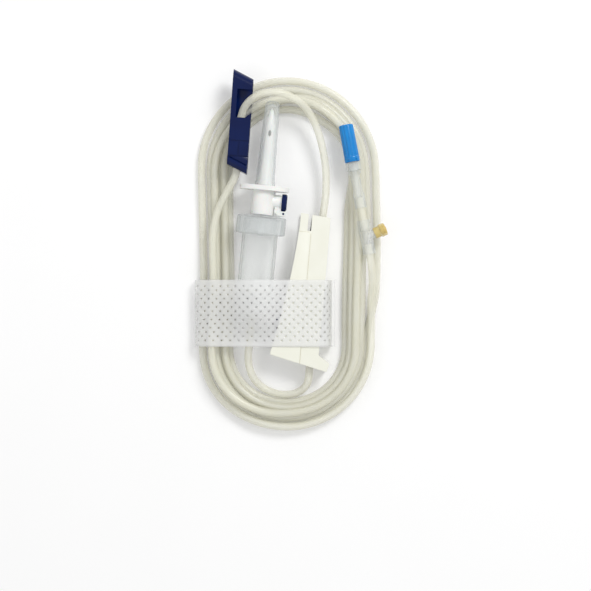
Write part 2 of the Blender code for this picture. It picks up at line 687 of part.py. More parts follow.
def on_off_clamp():
    """One springy moulding: base strap, heel, upper arm with a side notch, and a hooked post."""
    half = PINCH_LENGTH / 2
    jaw = PINCH_RIB + GAP + TUBE_D + GAP + PINCH_RIB
    height = 2 * PINCH_STRAP + jaw
    roll = height / 2
    heel = (half - roll, roll)
    inner = roll - PINCH_STRAP
    under = height - PINCH_STRAP
    post = -half + PINCH_POST
    rib = PINCH_RIB_AT
    profile = [(-half, 0)]
    profile += arc(heel, roll, -90, 90, 13)
    profile += [
        (post + HOOK_GAP + HOOK_BEVEL, height),
        (post + HOOK_GAP, height - HOOK_BEVEL),
        (post + HOOK_GAP, under),
        (rib - PINCH_RIB_HALF, under),
        (rib, under - PINCH_RIB),
        (rib + PINCH_RIB_HALF, under),
    ]
    profile += arc(heel, inner, 90, -90, 9)
    profile += [
        (rib + PINCH_RIB_HALF, PINCH_STRAP),
        (rib, PINCH_STRAP + PINCH_RIB),
        (rib - PINCH_RIB_HALF, PINCH_STRAP),
        (post, PINCH_STRAP),
        (post, height + HOOK_LOW),
        (post + HOOK_LIP, height + HOOK_BEVEL),
        (post + HOOK_BEVEL, height + HOOK_HIGH),
        (post - HOOK_LIP, height + HOOK_HIGH),
        (-half, height + HOOK_LOW),
    ]
    clamp = plate("pinch_clamp", profile, PINCH_WIDTH)
    upright = Matrix(((0, 0, 1, 0), (1, 0, 0, 0), (0, 1, 0, 0), (0, 0, 0, 1)))
    rake = Matrix.Identity(4)
    rake[1][0] = -math.tan(PINCH_RAKE)
    clamp.data.transform(rake @ upright)
    keep(clamp, PINCH, NAVY)
    hole = rod("post_hole", TUBE_D / 2 + GAP, -2 * half, post + PINCH_WIDTH / 2)
    combine(clamp, keep(hole, PINCH, location=(0, 0, PINCH_TUBE_Z), rotation=ALONG_Y), "DIFFERENCE")
    notch = block(
        "arm_notch",
        (-NOTCH_PAST_MIDDLE, NOTCH_LOW, under - MM),
        (PINCH_WIDTH, NOTCH_HIGH, height + MM),
    )
    combine(clamp, keep(notch, PINCH), "DIFFERENCE")
    low, high = PINCH_PANEL_LOW, PINCH_PANEL_HIGH
    line = PINCH_LINE / 2
    lines = (
        ("panel_line_low", (-PINCH_WIDTH, low - line), (PINCH_WIDTH, low + line)),
        ("panel_line_high", (-PINCH_WIDTH, high - line), (PINCH_WIDTH, high + line)),
        ("panel_line_middle", (-line, low), (line, high)),
    )
    for name, start, end in lines:
        tool = block(name, (*start, height - PINCH_LINE / 2), (*end, height + MM))
        combine(clamp, keep(tool, PINCH), "DIFFERENCE")


def delivery_end():
    """Y-site with its rubber port, the short tube, and the luer lock with its nut and cap."""
    socket = TUBE_D / 2 + GAP
    site = solid_from(
        turned(
            "site_run",
            [
                (SITE_R, SITE_HALF),
                (SITE_R, -SITE_HALF),
                (socket, -SITE_HALF),
                (socket, -SITE_STOP),
                (TUBE_BORE_R, -SITE_STOP),
                (TUBE_BORE_R, SITE_STOP),
                (socket, SITE_STOP),
                (socket, SITE_HALF),
            ],
        )
    )
    site.name = "y_site_body"
    keep(site, DELIVERY, CLEAR, rotation=ALONG_Y)
    port = Matrix.Rotation(-math.pi / 2, 4, "X") @ Matrix.Rotation(PORT_ANGLE, 4, "Y")
    turn = port.to_euler()
    arm_r = PORT_R - PORT_WALL - GAP
    arm = keep(rod("site_arm", arm_r, SITE_R - MM, ARM_LENGTH), DELIVERY, rotation=turn)
    combine(site, arm, "UNION")
    arm_bore = keep(rod("arm_bore", TUBE_BORE_R, 0, 2 * ARM_LENGTH), DELIVERY, rotation=turn)
    combine(site, arm_bore, "DIFFERENCE")
    housing = turned(
        "port_housing",
        [
            (PORT_R - SEPTUM_EDGE, PORT_END),
            (PORT_R, PORT_END - SEPTUM_EDGE),
            (PORT_R, PORT_END - PORT_HEAD),
            (PORT_R - PORT_STEP, PORT_END - PORT_HEAD),
            (PORT_R - PORT_STEP, PORT_START),
            (arm_r + GAP, PORT_START),
            (arm_r + GAP, ARM_LENGTH + GAP),
            (SEPTUM_R - SEAT_LEDGE, ARM_LENGTH + GAP),
            (SEPTUM_R - SEAT_LEDGE, ARM_LENGTH + GAP + PORT_WALL),
            (SEPTUM_R + GAP, ARM_LENGTH + GAP + PORT_WALL),
            (SEPTUM_R + GAP, PORT_END),
        ],
    )
    keep(housing, DELIVERY, AMBER, rotation=turn)
    seat = ARM_LENGTH + 2 * GAP + PORT_WALL
    septum = turned(
        "port_septum",
        [
            (0, PORT_END + SEPTUM_DOME),
            (SEPTUM_R - SEPTUM_EDGE, PORT_END),
            (SEPTUM_R, PORT_END - SEPTUM_EDGE),
            (SEPTUM_R, seat),
            (0, seat),
        ],
    )
    keep(septum, DELIVERY, RUBBER, rotation=turn)

    start = SITE_STOP + GAP
    end = LUER_STEM_START + LUER_SOCKET - GAP
    tubing("luer_tube", [(0, y, 0) for y in (start, (start + end) / 2, end)], DELIVERY)

    stem_high = NUT_START - STEM_HEAD
    luer = turned(
        "luer_body",
        [
            (LUER_TIP_R, LUER_TIP_END),
            (LUER_TIP_R + LUER_TAPER, NUT_START + NUT_WEB + GAP),
            (LUER_TIP_R + LUER_TAPER, NUT_START - GAP),
            (LUER_TIP_R + STEM_HEAD_WALL, NUT_START - GAP),
            (LUER_TIP_R + STEM_HEAD_WALL, stem_high),
            (LUER_TIP_R + STEM_WALL, stem_high - STEM_SLOPE),
            (LUER_TIP_R + STEM_WALL, LUER_STEM_START + LUER_SOCKET + STEM_TAPER),
            (LUER_SOCKET_R, LUER_STEM_START + LUER_SOCKET + STEM_SLOPE),
            (LUER_SOCKET_R, LUER_STEM_START),
            (socket, LUER_STEM_START),
            (socket, LUER_STEM_START + LUER_SOCKET),
            (STEM_BORE_R, LUER_STEM_START + LUER_SOCKET),
            (STEM_BORE_R, LUER_TIP_END),
        ],
    )
    keep(luer, DELIVERY, CLEAR, rotation=ALONG_Y)
    nut_inner = LUER_TIP_R + LUER_TAPER + GAP
    cap_inner = CAP_R - LUER_CAP_WALL
    skirt = cap_inner - GAP
    nut = turned(
        "luer_collar",
        [
            (skirt, NUT_END),
            (skirt, LUER_CAP_START - GAP),
            (NUT_R, LUER_CAP_START - GAP),
            (NUT_R, NUT_START),
            (nut_inner, NUT_START),
            (nut_inner, NUT_END),
        ],
    )
    keep(nut, DELIVERY, CLEAR, rotation=ALONG_Y)

    flutes = []
    for i in range(CAP_FLUTES):
        for share, depth in ((0, CAP_DRAFT), (0.45, CAP_DRAFT), (0.6, FLUTE), (0.85, FLUTE)):
            a = 2 * math.pi * (i + share) / CAP_FLUTES
            flutes.append(((CAP_R - depth) * math.cos(a), (CAP_R - depth) * math.sin(a)))
    grip = LUER_CAP_LENGTH - CAP_COLLAR
    cap = plate("luer_cap", flutes, grip)
    cap.data.transform(Matrix.Translation((0, 0, grip / 2 + CAP_COLLAR)))
    keep(cap, DELIVERY, AZURE, location=(0, LUER_CAP_START, 0), rotation=ALONG_Y)
    combine(cap, keep(rod("cap_collar", CAP_R, 0, CAP_COLLAR + CAP_COLLAR_LAP, ROUND_STEPS), cap), "UNION")
    depth = LUER_TIP_END + CAP_BORE_PAST_TIP - LUER_CAP_START
    bore = rod("cap_bore", cap_inner, -MM, depth, ROUND_STEPS)
    combine(cap, keep(bore, cap), "DIFFERENCE")
    for i in range(CAP_NOTCHES):
        a = 2 * math.pi * i / CAP_NOTCHES
        notch = block(
            f"cap_notch_{i}",
            (cap_inner - MM, -NOTCH_WIDTH / 2, -MM),
            (CAP_R + MM, NOTCH_WIDTH / 2, CAP_COLLAR * NOTCH_SHARE),
        )
        notch.data.transform(Matrix.Rotation(a, 4, "Z"))
        combine(cap, keep(notch, cap), "DIFFERENCE")


def stadium(width, length, count=25):
    """A rounded outline with straight sides, about the origin."""
    radius = width / 2
    reach = length / 2 - radius
    return arc((0, reach), radius, 0, 180, count) + arc((0, -reach), radius, 180, 360, count)


def hank():
    """The wound turns as one solid, with the place where the band passes under its left leg."""
    outer = stadium(HANK_WIDTH, HANK_LENGTH)
    inner = stadium(HANK_WIDTH - 2 * HANK_BAND, HANK_LENGTH - 2 * HANK_BAND)
    coil = plate("tube_hank", outer, HANK_HEIGHT, [inner])
    keep(coil, ROOT, TUBING, location=(0, 0, HANK_HEIGHT / 2))
    edge = coil.modifiers.new("round_strands", "BEVEL")
    edge.width = TUBE_D / 3
    edge.segments = 2
    edge.limit_method = "ANGLE"
    edge.angle_limit = math.radians(50)
    under = block(
        "band_passage",
        (-HANK_WIDTH, BAND_LOW_Y - GAP, -MM),
        (-HANK_WIDTH / 2 + HANK_BAND + MM, BAND_HIGH_Y + GAP, BAND_THICK + GAP),
    )
    combine(coil, keep(under, ROOT), "DIFFERENCE")


def band_section(height):
    """Inner outline of the film across the bundle: height is 1 over the chamber, 0 where it is slack."""
    hump_x = DRIP_PLACE[0] - math.tan(-DRIP_TILT) * (DRIP_PLACE[1] - BAND_FULL_Y)
    arch = arc((hump_x, CHAMBER_Z), CHAMBER_R + BAND_SLACK, BAND_ARCH_LEFT, BAND_ARCH_RIGHT, 9)
    over_line = HANK_HEIGHT + GAP + TUBE_D + 2 * GAP
    over_clamp = CLAMP_LIFT + CLAMP_WIDTH + GAP
    left = -HANK_WIDTH / 2 - GAP
    right = BAND_RIGHT_X - BAND_THICK
    section = [
        (right, BAND_RISE),
        (right - BAND_CORNER, BAND_THICK),
        (left + GAP, BAND_THICK),
        (left, BAND_THICK + GAP),
        (left, HANK_HEIGHT - BAND_RISE),
        (left + BAND_CORNER, HANK_HEIGHT + GAP),
        (BAND_LINE_X - BAND_LINE_HALF, over_line - BAND_CORNER),
        (BAND_LINE_X + BAND_CORNER, over_line),
    ]
    for x, z in arch:
        share = (x - arch[0][0]) / (arch[-1][0] - arch[0][0])
        slack = over_line + share * (over_clamp - over_line)
        section.append((x, slack + height * (z - slack)))
    section += [
        (BAND_CLAMP_X, over_clamp),
        (right - BAND_FALL_X, over_clamp),
        (right - BAND_FALL_X / 3, 0.7 * over_clamp),
        (right, 0.4 * over_clamp),
    ]
    return section


def retaining_band():
    """A closed sleeve of thin punched film round the left leg, the chamber and the roller clamp."""
    work = bmesh.new()
    rings = []
    for y, height in ((BAND_LOW_Y, 0), (BAND_FULL_Y, 1), (BAND_HIGH_Y, 1)):
        ring = [work.verts.new((x, y, z)) for x, z in band_section(height)]
        rings.append([work.edges.new((a, b)) for a, b in zip(ring, ring[1:] + ring[:1])])
    for lower, upper in zip(rings, rings[1:]):
        bmesh.ops.bridge_loops(work, edges=lower + upper)
    bmesh.ops.recalc_face_normals(work, faces=work.faces)
    mesh = bpy.data.meshes.new("retaining_band")
    work.to_mesh(mesh)
    work.free()
    band = keep(bpy.data.objects.new("retaining_band", mesh), ROOT, FILM)
    wall = band.modifiers.new("film", "SOLIDIFY")
    wall.thickness = BAND_THICK
    wall.offset = 1.0
    wall.use_even_offset = True
    punch = rod("band_punch", PUNCH_R, PUNCH_LOW, HANK_LENGTH, 6)
    for step, count in (((PUNCH_PITCH, 0, 0), PUNCH_COLUMNS), ((0, PUNCH_PITCH, 0), PUNCH_ROWS)):
        row = punch.modifiers.new("row", "ARRAY")
        row.use_relative_offset = False
        row.use_constant_offset = True
        row.constant_offset_displace = step
        row.count = count
    corner = (left_of_punches(), BAND_LOW_Y + PUNCH_MARGIN, 0)
    combine(band, keep(punch, ROOT, location=corner), "DIFFERENCE")


def left_of_punches():
    """Centres the columns of holes between the band's two sides."""
    middle = (BAND_RIGHT_X - HANK_WIDTH / 2) / 2
    return middle - PUNCH_PITCH * (PUNCH_COLUMNS - 1) / 2


# Routes of the free tubing, chosen by hand, from the middle of the hank
CHAMBER_LINE = [
    (-18.52 * MM, -29.4 * MM, 12.9 * MM),
    (-19.13 * MM, -35.8 * MM, 12.8 * MM),
    (-19.8 * MM, -42.5 * MM, 11.7 * MM),
    (-20.8 * MM, -50.5 * MM, 8.6 * MM),
    (-20.4 * MM, -57.5 * MM, 5.2 * MM),
    (-17.6 * MM, -64.2 * MM, 2.9 * MM),
    (-12.2 * MM, -69.2 * MM, 2.1 * MM),
    (-5.2 * MM, -71.9 * MM, 2.1 * MM),
    (1.6 * MM, -72.0 * MM, 2.5 * MM),
    (6.8 * MM, -70.0 * MM, 4.2 * MM),
    (9.9 * MM, -66.6 * MM, 6.5 * MM),
    (10.8 * MM, -63.6 * MM, 7.5 * MM),
    (10.98 * MM, -61.9 * MM, 7.7 * MM),
]
ARC_LINE = [
    (-40.0 * MM, -54.0 * MM, 10.1 * MM),
    (-40.2 * MM, -27.0 * MM, 10.1 * MM),
    (-40.0 * MM, 0.0 * MM, 10.1 * MM),
    (-39.2 * MM, 13.0 * MM, 10.1 * MM),
    (-36.5 * MM, 25.0 * MM, 10.4 * MM),
    (-31.8 * MM, 34.5 * MM, 11.8 * MM),
    (-28.2 * MM, 41.0 * MM, 12.6 * MM),
    (-26.5 * MM, 46.5 * MM, 12.7 * MM),
    (-25.6 * MM, 59.0 * MM, 12.7 * MM),
    (-24.9 * MM, 70.0 * MM, 12.7 * MM),
    (-24.3 * MM, 73.8 * MM, 12.9 * MM),
    (-22.3 * MM, 78.7 * MM, 14.5 * MM),
    (-18.2 * MM, 82.7 * MM, 17.2 * MM),
    (-13.2 * MM, 84.8 * MM, 19.5 * MM),
    (-7.6 * MM, 85.4 * MM, 20.5 * MM),
    (-2.2 * MM, 84.7 * MM, 19.7 * MM),
    (3.4 * MM, 82.5 * MM, 17.1 * MM),
    (8.4 * MM, 79.0 * MM, 13.6 * MM),
    (12.4 * MM, 73.6 * MM, 10.9 * MM),
    (15.8 * MM, 66.0 * MM, 10.0 * MM),
    (18.2 * MM, 57.2 * MM, 9.4 * MM),
    (19.9 * MM, 46.0 * MM, 8.5 * MM),
    (19.9 * MM, 34.0 * MM, 7.8 * MM),
    (18.74 * MM, 24.3 * MM, 7.7 * MM),
]
SITE_LINE = [
    (43.8 * MM, -22.0 * MM, 10.1 * MM),
    (44.3 * MM, -13.0 * MM, 10.6 * MM),
    (43.8 * MM, -5.0 * MM, 11.6 * MM),
    (42.85 * MM, 1.2 * MM, 12.1 * MM),
    (42.25 * MM, 4.4 * MM, 12.1 * MM),
    (41.76 * MM, 7.05 * MM, 12.1 * MM),
]


def free_tubing():
    """The stretches between the hank and the pieces on the line."""
    tubing("tube_from_chamber", CHAMBER_LINE, ROOT)
    tubing("tube_arc", ARC_LINE, ROOT)
    tubing("tube_to_y_site", SITE_LINE, ROOT)


hank()
drip_end()
roller_clamp()
on_off_clamp()
delivery_end()
retaining_band()
free_tubing()
bpy.context.view_layer.update()
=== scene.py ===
"""Looks of a coiled infusion set: tubing at its real length, film band and the finish of each moulding.

Metres, +Z up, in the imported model's frame. The sizes and routes of the line repeat those of the CAD
source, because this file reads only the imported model.
"""

import logging
import math
from collections.abc import Callable, Mapping, Sequence
from dataclasses import dataclass, field, replace
from enum import Enum
from typing import Any

import bmesh
import bpy
import numpy as np
from bpy.types import Material, Node, NodeSocket, NodeTree, Object
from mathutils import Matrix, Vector


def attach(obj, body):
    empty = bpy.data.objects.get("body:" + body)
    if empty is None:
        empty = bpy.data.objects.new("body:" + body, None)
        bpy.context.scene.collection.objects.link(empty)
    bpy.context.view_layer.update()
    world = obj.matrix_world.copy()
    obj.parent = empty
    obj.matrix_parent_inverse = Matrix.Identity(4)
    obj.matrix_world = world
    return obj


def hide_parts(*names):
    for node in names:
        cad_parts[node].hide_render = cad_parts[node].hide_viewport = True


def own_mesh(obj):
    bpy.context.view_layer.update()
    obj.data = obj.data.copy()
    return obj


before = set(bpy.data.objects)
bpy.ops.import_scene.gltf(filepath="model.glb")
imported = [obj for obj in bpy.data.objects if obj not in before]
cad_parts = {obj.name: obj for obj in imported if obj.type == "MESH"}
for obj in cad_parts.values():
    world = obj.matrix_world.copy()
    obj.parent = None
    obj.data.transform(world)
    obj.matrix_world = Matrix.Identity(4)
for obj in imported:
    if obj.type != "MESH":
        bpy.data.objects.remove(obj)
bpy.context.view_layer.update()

LOG = logging.getLogger("infusion_set")
MM = 0.001
SET = "set"
TUBE_D = 4.0 * MM
BORE_D = 2.9 * MM
FRAME_X = 1.98 * MM
FRAME_Y = 19.28 * MM

# Cleaning and rounding of shapes
MERGE_WITHIN = 0.004 * MM
FLAT_WITHIN = math.radians(1.0)
MOULDED_EDGE = math.radians(32)
TURNED_EDGE = math.radians(50)
EDGE_SEGMENTS = 2
ROUTE_SAMPLES = 16
ON_AXIS = 1e-9
SHARP = 1e-9
CORNER_SHARE = 0.42
CORNER_STEPS = 5

# Light under and on a skin; painted shade in creases starts and is full at these shares of open sky
SCATTER_REACH = 2 * MM
PATCH_DETAIL = 2.0
SKIN_DETAIL = 3.0
PLAIN_SLANT = 0.5
PAINTED_SHADE_STARTS = 0.9
PAINTED_SHADE_FULL = 0.45
PAINTED_SHADE_SAMPLES = 8

Array = np.ndarray
Point = tuple[float, float, float]
Section = tuple[tuple[float, float], ...]
Swell = Callable[[Array, Array, Array], Array]
Waves = tuple[Point, ...]
Zone = tuple[float, float, float, float]


# Arrays and meshes


def smoothstep(value: Array) -> Array:
    """Eases each value from 0 to 1: three times its square less twice its cube, held outside."""
    held = np.clip(value, 0.0, 1.0)
    return held * held * (3.0 - 2.0 * held)


def eased_zone(value: Array, low: float, high: float, rise: float, fall: float) -> Array:
    """Eases from 0 at low to 1 over the rise above it, and back to 0 over the fall below high."""
    return smoothstep((value - low) / rise) * smoothstep((high - value) / fall)


def waved(at: Array, waves: Waves) -> Array:
    """Adds up sines: a height times the sine of the distance over a length plus a phase."""
    return sum(height * np.sin(at / length + phase) for height, length, phase in waves)


def level_points(x: float, along: Sequence[float]) -> Array:
    """Local points at one X and at distances along Y, level with the origin."""
    return np.column_stack([np.full(len(along), x), along, np.zeros(len(along))])


def unit(rows: Array) -> Array:
    """Each row at length one."""
    return rows / np.linalg.norm(rows, axis=1, keepdims=True)


def smooth_route(knots: Array, spacing: float) -> Array:
    """Draws one smooth curve through chosen points.

    Between two knots runs a cubic Bezier curve. Its handles are a third of the chord long and lie
    along the line between the knots before and after. The running sum of the curve's steps is the
    distance to each sample, and the points are read from it at equal distances.

    Args:
        knots: The chosen points, one row each.
        spacing: The distance between the points returned.

    Returns:
        Evenly spaced points on the curve.
    """
    before = np.vstack([2 * knots[0] - knots[1], knots[:-1]])
    after = np.vstack([knots[1:], 2 * knots[-1] - knots[-2]])
    heading = unit(after - before)
    start, end = knots[:-1], knots[1:]
    reach = np.linalg.norm(end - start, axis=1, keepdims=True) / 3.0
    t = np.linspace(0.0, 1.0, ROUTE_SAMPLES, endpoint=False)[None, :, None]
    s = 1.0 - t
    first = (start + heading[:-1] * reach)[:, None, :]
    second = (end - heading[1:] * reach)[:, None, :]
    curve = s**3 * start[:, None, :] + 3 * s * s * t * first
    curve = curve + 3 * s * t * t * second + t**3 * end[:, None, :]
    line = np.vstack([curve.reshape(-1, 3), knots[-1:]])
    run = np.concatenate([[0.0], np.cumsum(np.linalg.norm(np.diff(line, axis=0), axis=1))])
    where = np.linspace(0.0, run[-1], max(3, round(run[-1] / spacing) + 1))
    return np.stack([np.interp(where, run, column) for column in line.T], axis=1)


def grid_faces(rows: int, columns: int, round_rows: bool, round_columns: bool) -> Array:
    """Numbers the four corners of each cell of a grid of vertices.

    Vertex (row, column) has the number row times columns plus column. A round direction joins its
    last line of cells to its first.

    Args:
        rows: Lines of vertices.
        columns: Vertices in a line.
        round_rows: Whether the last row meets the first.
        round_columns: Whether the last column meets the first.

    Returns:
        One row of four vertex numbers for each cell.
    """
    i = np.arange(rows if round_rows else rows - 1)[:, None]
    j = np.arange(columns if round_columns else columns - 1)[None, :]
    below = (i + 1) % rows
    right = (j + 1) % columns
    corners = (i * columns + j, i * columns + right, below * columns + right, below * columns + j)
    return np.stack([np.broadcast_to(c, (i.size, j.size)) for c in corners], axis=-1).reshape(-1, 4)


def placed(name: str, data: bpy.types.ID) -> Object:
    """Puts a new object with its data into the scene.

    Args:
        name: The object's name.
        data: Its mesh, lamp or camera.

    Returns:
        The object.
    """
    item = bpy.data.objects.new(name, data)
    bpy.context.scene.collection.objects.link(item)
    return item


def mesh_piece(
    name: str, points: Array, faces: Sequence[Array], finish: Material, flat: bool = False
) -> Object:
    """Puts arrays into a new mesh object at the origin.

    Args:
        name: The piece's name.
        points: Vertex places in the frame, one row each.
        faces: Arrays of vertex numbers, each with its own count of corners to a face.
        finish: The material of the whole piece.
        flat: Whether its faces shade flat.

    Returns:
        The object.
    """
    corners = np.concatenate([group.ravel() for group in faces]).astype(np.int32)
    counts = np.concatenate([np.full(len(group), group.shape[1]) for group in faces])
    starts = np.concatenate([[0], np.cumsum(counts)[:-1]]).astype(np.int32)
    mesh = bpy.data.meshes.new(name)
    mesh.vertices.add(len(points))
    mesh.vertices.foreach_set("co", np.ascontiguousarray(points, dtype=np.float32).ravel())
    mesh.loops.add(len(corners))
    mesh.loops.foreach_set("vertex_index", corners)
    mesh.polygons.add(len(starts))
    mesh.polygons.foreach_set("loop_start", starts)
    mesh.update(calc_edges=True)
    mesh.validate()
    mesh.polygons.foreach_set("use_smooth", np.full(len(mesh.polygons), not flat))
    mesh.materials.append(finish)
    piece = placed(name, mesh)
    LOG.info("%s: %d faces", name, len(mesh.polygons))
    return piece


def hollow_tube(path: Array, outer: float, bore: float, around: int) -> tuple[Array, Array]:
    """A tube with a bore, carried along a path.

    The heading is the difference of the neighbouring points, across is the heading turned a quarter
    in plan, and up is at right angles to both. Point (i, j) is the path's point i plus the radius
    times the cosine of the angle j across and its sine up. The rings make one round strip of rows:
    out along the wall, over the end, back through the bore, and over the first end.

    Args:
        path: Points of the centreline.
        outer: Radius of the wall's outside.
        bore: Radius of the bore.
        around: Points on each ring.

    Returns:
        Vertices and four-cornered faces of a closed mesh.
    """
    heading = unit(np.gradient(path, axis=0))
    across = unit(np.stack([heading[:, 1], -heading[:, 0], np.zeros(len(path))], axis=1))
    up = np.cross(across, heading)
    angle = np.linspace(0.0, 2 * np.pi, around, endpoint=False)[None, :, None]
    ring = np.cos(angle) * across[:, None, :] + np.sin(angle) * up[:, None, :]
    outside = path[:, None, :] + outer * ring
    inside = (path[:, None, :] + bore * ring)[::-1]
    rows = np.concatenate([outside, inside], axis=0)
    faces = grid_faces(len(rows), around, True, True)
    return rows.reshape(-1, 3), faces[:, ::-1]


def rounded(profile: Section, radius: float, ring: bool) -> Array:
    """Rounds the corners of a profile.

    Each corner is cut at the radius, or at a share of the shorter side next to it. Between the cuts
    runs the parabola whose handle is the corner.

    Args:
        profile: Corners of radius and height, in millimetres.
        radius: How far from a corner the round starts.
        ring: Whether the last corner meets the first; otherwise both ends stay where they are.

    Returns:
        The rounded profile, one row a point.
    """
    corner = np.array(profile) * MM
    before, after = np.roll(corner, 1, axis=0) - corner, np.roll(corner, -1, axis=0) - corner
    shorter = np.minimum(np.linalg.norm(before, axis=1), np.linalg.norm(after, axis=1))
    cut = np.minimum(radius, CORNER_SHARE * shorter)[:, None]
    start, end = corner + unit(before) * cut, corner + unit(after) * cut
    t = np.linspace(0.0, 1.0, CORNER_STEPS)[None, :, None]
    curve = (1 - t) ** 2 * start[:, None] + 2 * t * (1 - t) * corner[:, None] + t * t * end[:, None]
    if ring:
        return curve.reshape(-1, 2)
    return np.vstack([corner[:1], curve[1:-1].reshape(-1, 2), corner[-1:]])


def turned(profile: Array, steps: int, swell: Swell | None = None) -> tuple[Array, list[Array]]:
    """Turns a profile about the Y axis.

    Point (i, j) lies at the radius of profile point i plus the swell there, times the cosine of the
    angle j in X and its sine in Z, at the profile's height in Y. A profile that starts and ends on
    the axis closes in two poles, and any other on itself.

    Args:
        profile: Radius and height of each point.
        steps: Points on each ring.
        swell: What it adds to the radius, from arrays of radius, height and angle.

    Returns:
        Vertices and groups of faces.
    """
    poled = profile[0, 0] < ON_AXIS
    body = profile[1:-1] if poled else profile
    angle = np.linspace(0.0, 2 * np.pi, steps, endpoint=False)[None, :]
    radius = np.broadcast_to(body[:, :1], (len(body), steps))
    height = np.broadcast_to(body[:, 1:], (len(body), steps))
    if swell is not None:
        radius = radius + swell(radius, height, angle)
    points = np.stack([radius * np.cos(angle), height, radius * np.sin(angle)], axis=-1)
    points = points.reshape(-1, 3)
    sides = grid_faces(len(body), steps, not poled, True)
    if not poled:
        return points, [sides]
    poles = np.array([(0.0, profile[0, 1], 0.0), (0.0, profile[-1, 1], 0.0)])
    first = np.arange(steps)
    last = first + (len(body) - 1) * steps
    top = np.column_stack([np.full(steps, len(points)), np.roll(first, -1), first])
    low = np.column_stack([np.full(steps, len(points) + 1), last, np.roll(last, -1)])
    return np.vstack([points, poles]), [sides, top, low]


def outward(piece: Object) -> None:
    """Turns every face of a closed piece to the outside.

    Args:
        piece: The piece.
    """
    work = bmesh.new()
    work.from_mesh(piece.data)
    bmesh.ops.recalc_face_normals(work, faces=work.faces)
    work.to_mesh(piece.data)
    work.free()


def settled(piece: Object, body: str, slot: str, *nodes: str) -> Object:
    """Puts a piece on its body and hides the CAD nodes that it stands for.

    Args:
        piece: The piece.
        body: The body that it rides on.
        slot: The name of a material slot; not used.
        nodes: The nodes that it replaces.

    Returns:
        The same piece.
    """
    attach(piece, body)
    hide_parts(*nodes)
    return piece


def softened(node: str, name: str, edge: float, finish: Material) -> Object:
    """A copy of a node's mesh with its doubles merged, its flats joined and its edges rounded.

    Args:
        node: The CAD node.
        name: The new piece's name.
        edge: Width of the rounding.
        finish: The new piece's material.

    Returns:
        The piece.
    """
    work = bmesh.new()
    work.from_mesh(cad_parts[node].data)
    bmesh.ops.remove_doubles(work, verts=work.verts, dist=MERGE_WITHIN)
    bmesh.ops.dissolve_limit(work, angle_limit=FLAT_WITHIN, verts=work.verts, edges=work.edges)
    mesh = bpy.data.meshes.new(name)
    work.to_mesh(mesh)
    work.free()
    mesh.materials.append(finish)
    piece = placed(name, mesh)
    rounding = piece.modifiers.new("moulded_edge", "BEVEL")
    rounding.width = edge
    rounding.segments = EDGE_SEGMENTS
    rounding.limit_method = "ANGLE"
    rounding.angle_limit = MOULDED_EDGE
    mesh.set_sharp_from_angle(angle=MOULDED_EDGE)
    mesh.polygons.foreach_set("use_smooth", np.full(len(mesh.polygons), True))
    LOG.info("%s: %d faces", name, len(mesh.polygons))
    return piece


# Materials


def linear(colour: str) -> tuple[float, float, float, float]:
    """Turns an sRGB hex colour into linear red, green, blue and full alpha.

    Args:
        colour: The hex value.

    Returns:
        The four numbers.
    """
    srgb = np.array([int(colour[i : i + 2], 16) for i in (1, 3, 5)]) / 255.0
    low = srgb / 12.92
    high = ((srgb + 0.055) / 1.055) ** 2.4
    return (*np.where(srgb <= 0.04045, low, high).tolist(), 1.0)


def add(tree: NodeTree, kind: str, inputs: Mapping[str | int, Any], **settings: Any) -> Node:
    """Adds one node with its settings, and links or sets its inputs.

    Args:
        tree: The material's tree.
        kind: The node's type.
        inputs: What each socket gets: another node's output, or a value.
        settings: The node's own properties.

    Returns:
        The node.
    """
    node = tree.nodes.new(kind)
    for key, value in settings.items():
        setattr(node, key, value)
    for key, value in inputs.items():
        if isinstance(value, NodeSocket):
            tree.links.new(value, node.inputs[key])
        else:
            node.inputs[key].default_value = value
    return node


def mixed(tree: NodeTree, share: NodeSocket, first: Any, second: Any) -> NodeSocket:
    """Mixes two shades, each a value or an output, by how much of the second shows."""
    node = add(tree, "ShaderNodeMix", {0: share, 6: first, 7: second}, data_type="RGBA")
    return node.outputs[2]


def tinted(shader: Node, share: NodeSocket, shade: str) -> None:
    """Mixes a shade into the colour that a shader gets.

    Args:
        shader: The material's shader.
        share: How much of the shade shows.
        shade: Its hex value.
    """
    colour = shader.inputs["Base Color"]
    mix = mixed(shader.id_data, share, colour.links[0].from_socket, linear(shade))
    shader.id_data.links.new(mix, colour)


def set_sockets(node: Node, values: Mapping[str, Any]) -> None:
    """Sets a node's inputs by name."""
    for name, value in values.items():
        node.inputs[name].default_value = value


def mottling(tree: NodeTree, place: NodeSocket, size: float, detail: float) -> NodeSocket:
    """A noise over the object, its scale one over the size that its features have in metres."""
    inputs = {"Vector": place, "Scale": 1.0 / size, "Detail": detail}
    return add(tree, "ShaderNodeTexNoise", inputs).outputs["Fac"]


def clouded(name: str, colour: str, drift: str, patch: float) -> tuple[Material, Node, NodeSocket]:
    """Starts a material whose shade drifts between two by a slow noise.

    Args:
        name: The material's name.
        colour: One shade.
        drift: The other.
        patch: Size of the patches.

    Returns:
        The material, its shader and the output that gives places on the object.
    """
    made = bpy.data.materials.new(name)
    made.use_nodes = True
    tree = made.node_tree
    shader = tree.nodes["Principled BSDF"]
    place = add(tree, "ShaderNodeTexCoord", {}).outputs["Object"]
    cloud = mottling(tree, place, patch, PATCH_DETAIL)
    shade = mixed(tree, cloud, linear(colour), linear(drift))
    tree.links.new(shade, shader.inputs["Base Color"])
    return made, shader, place


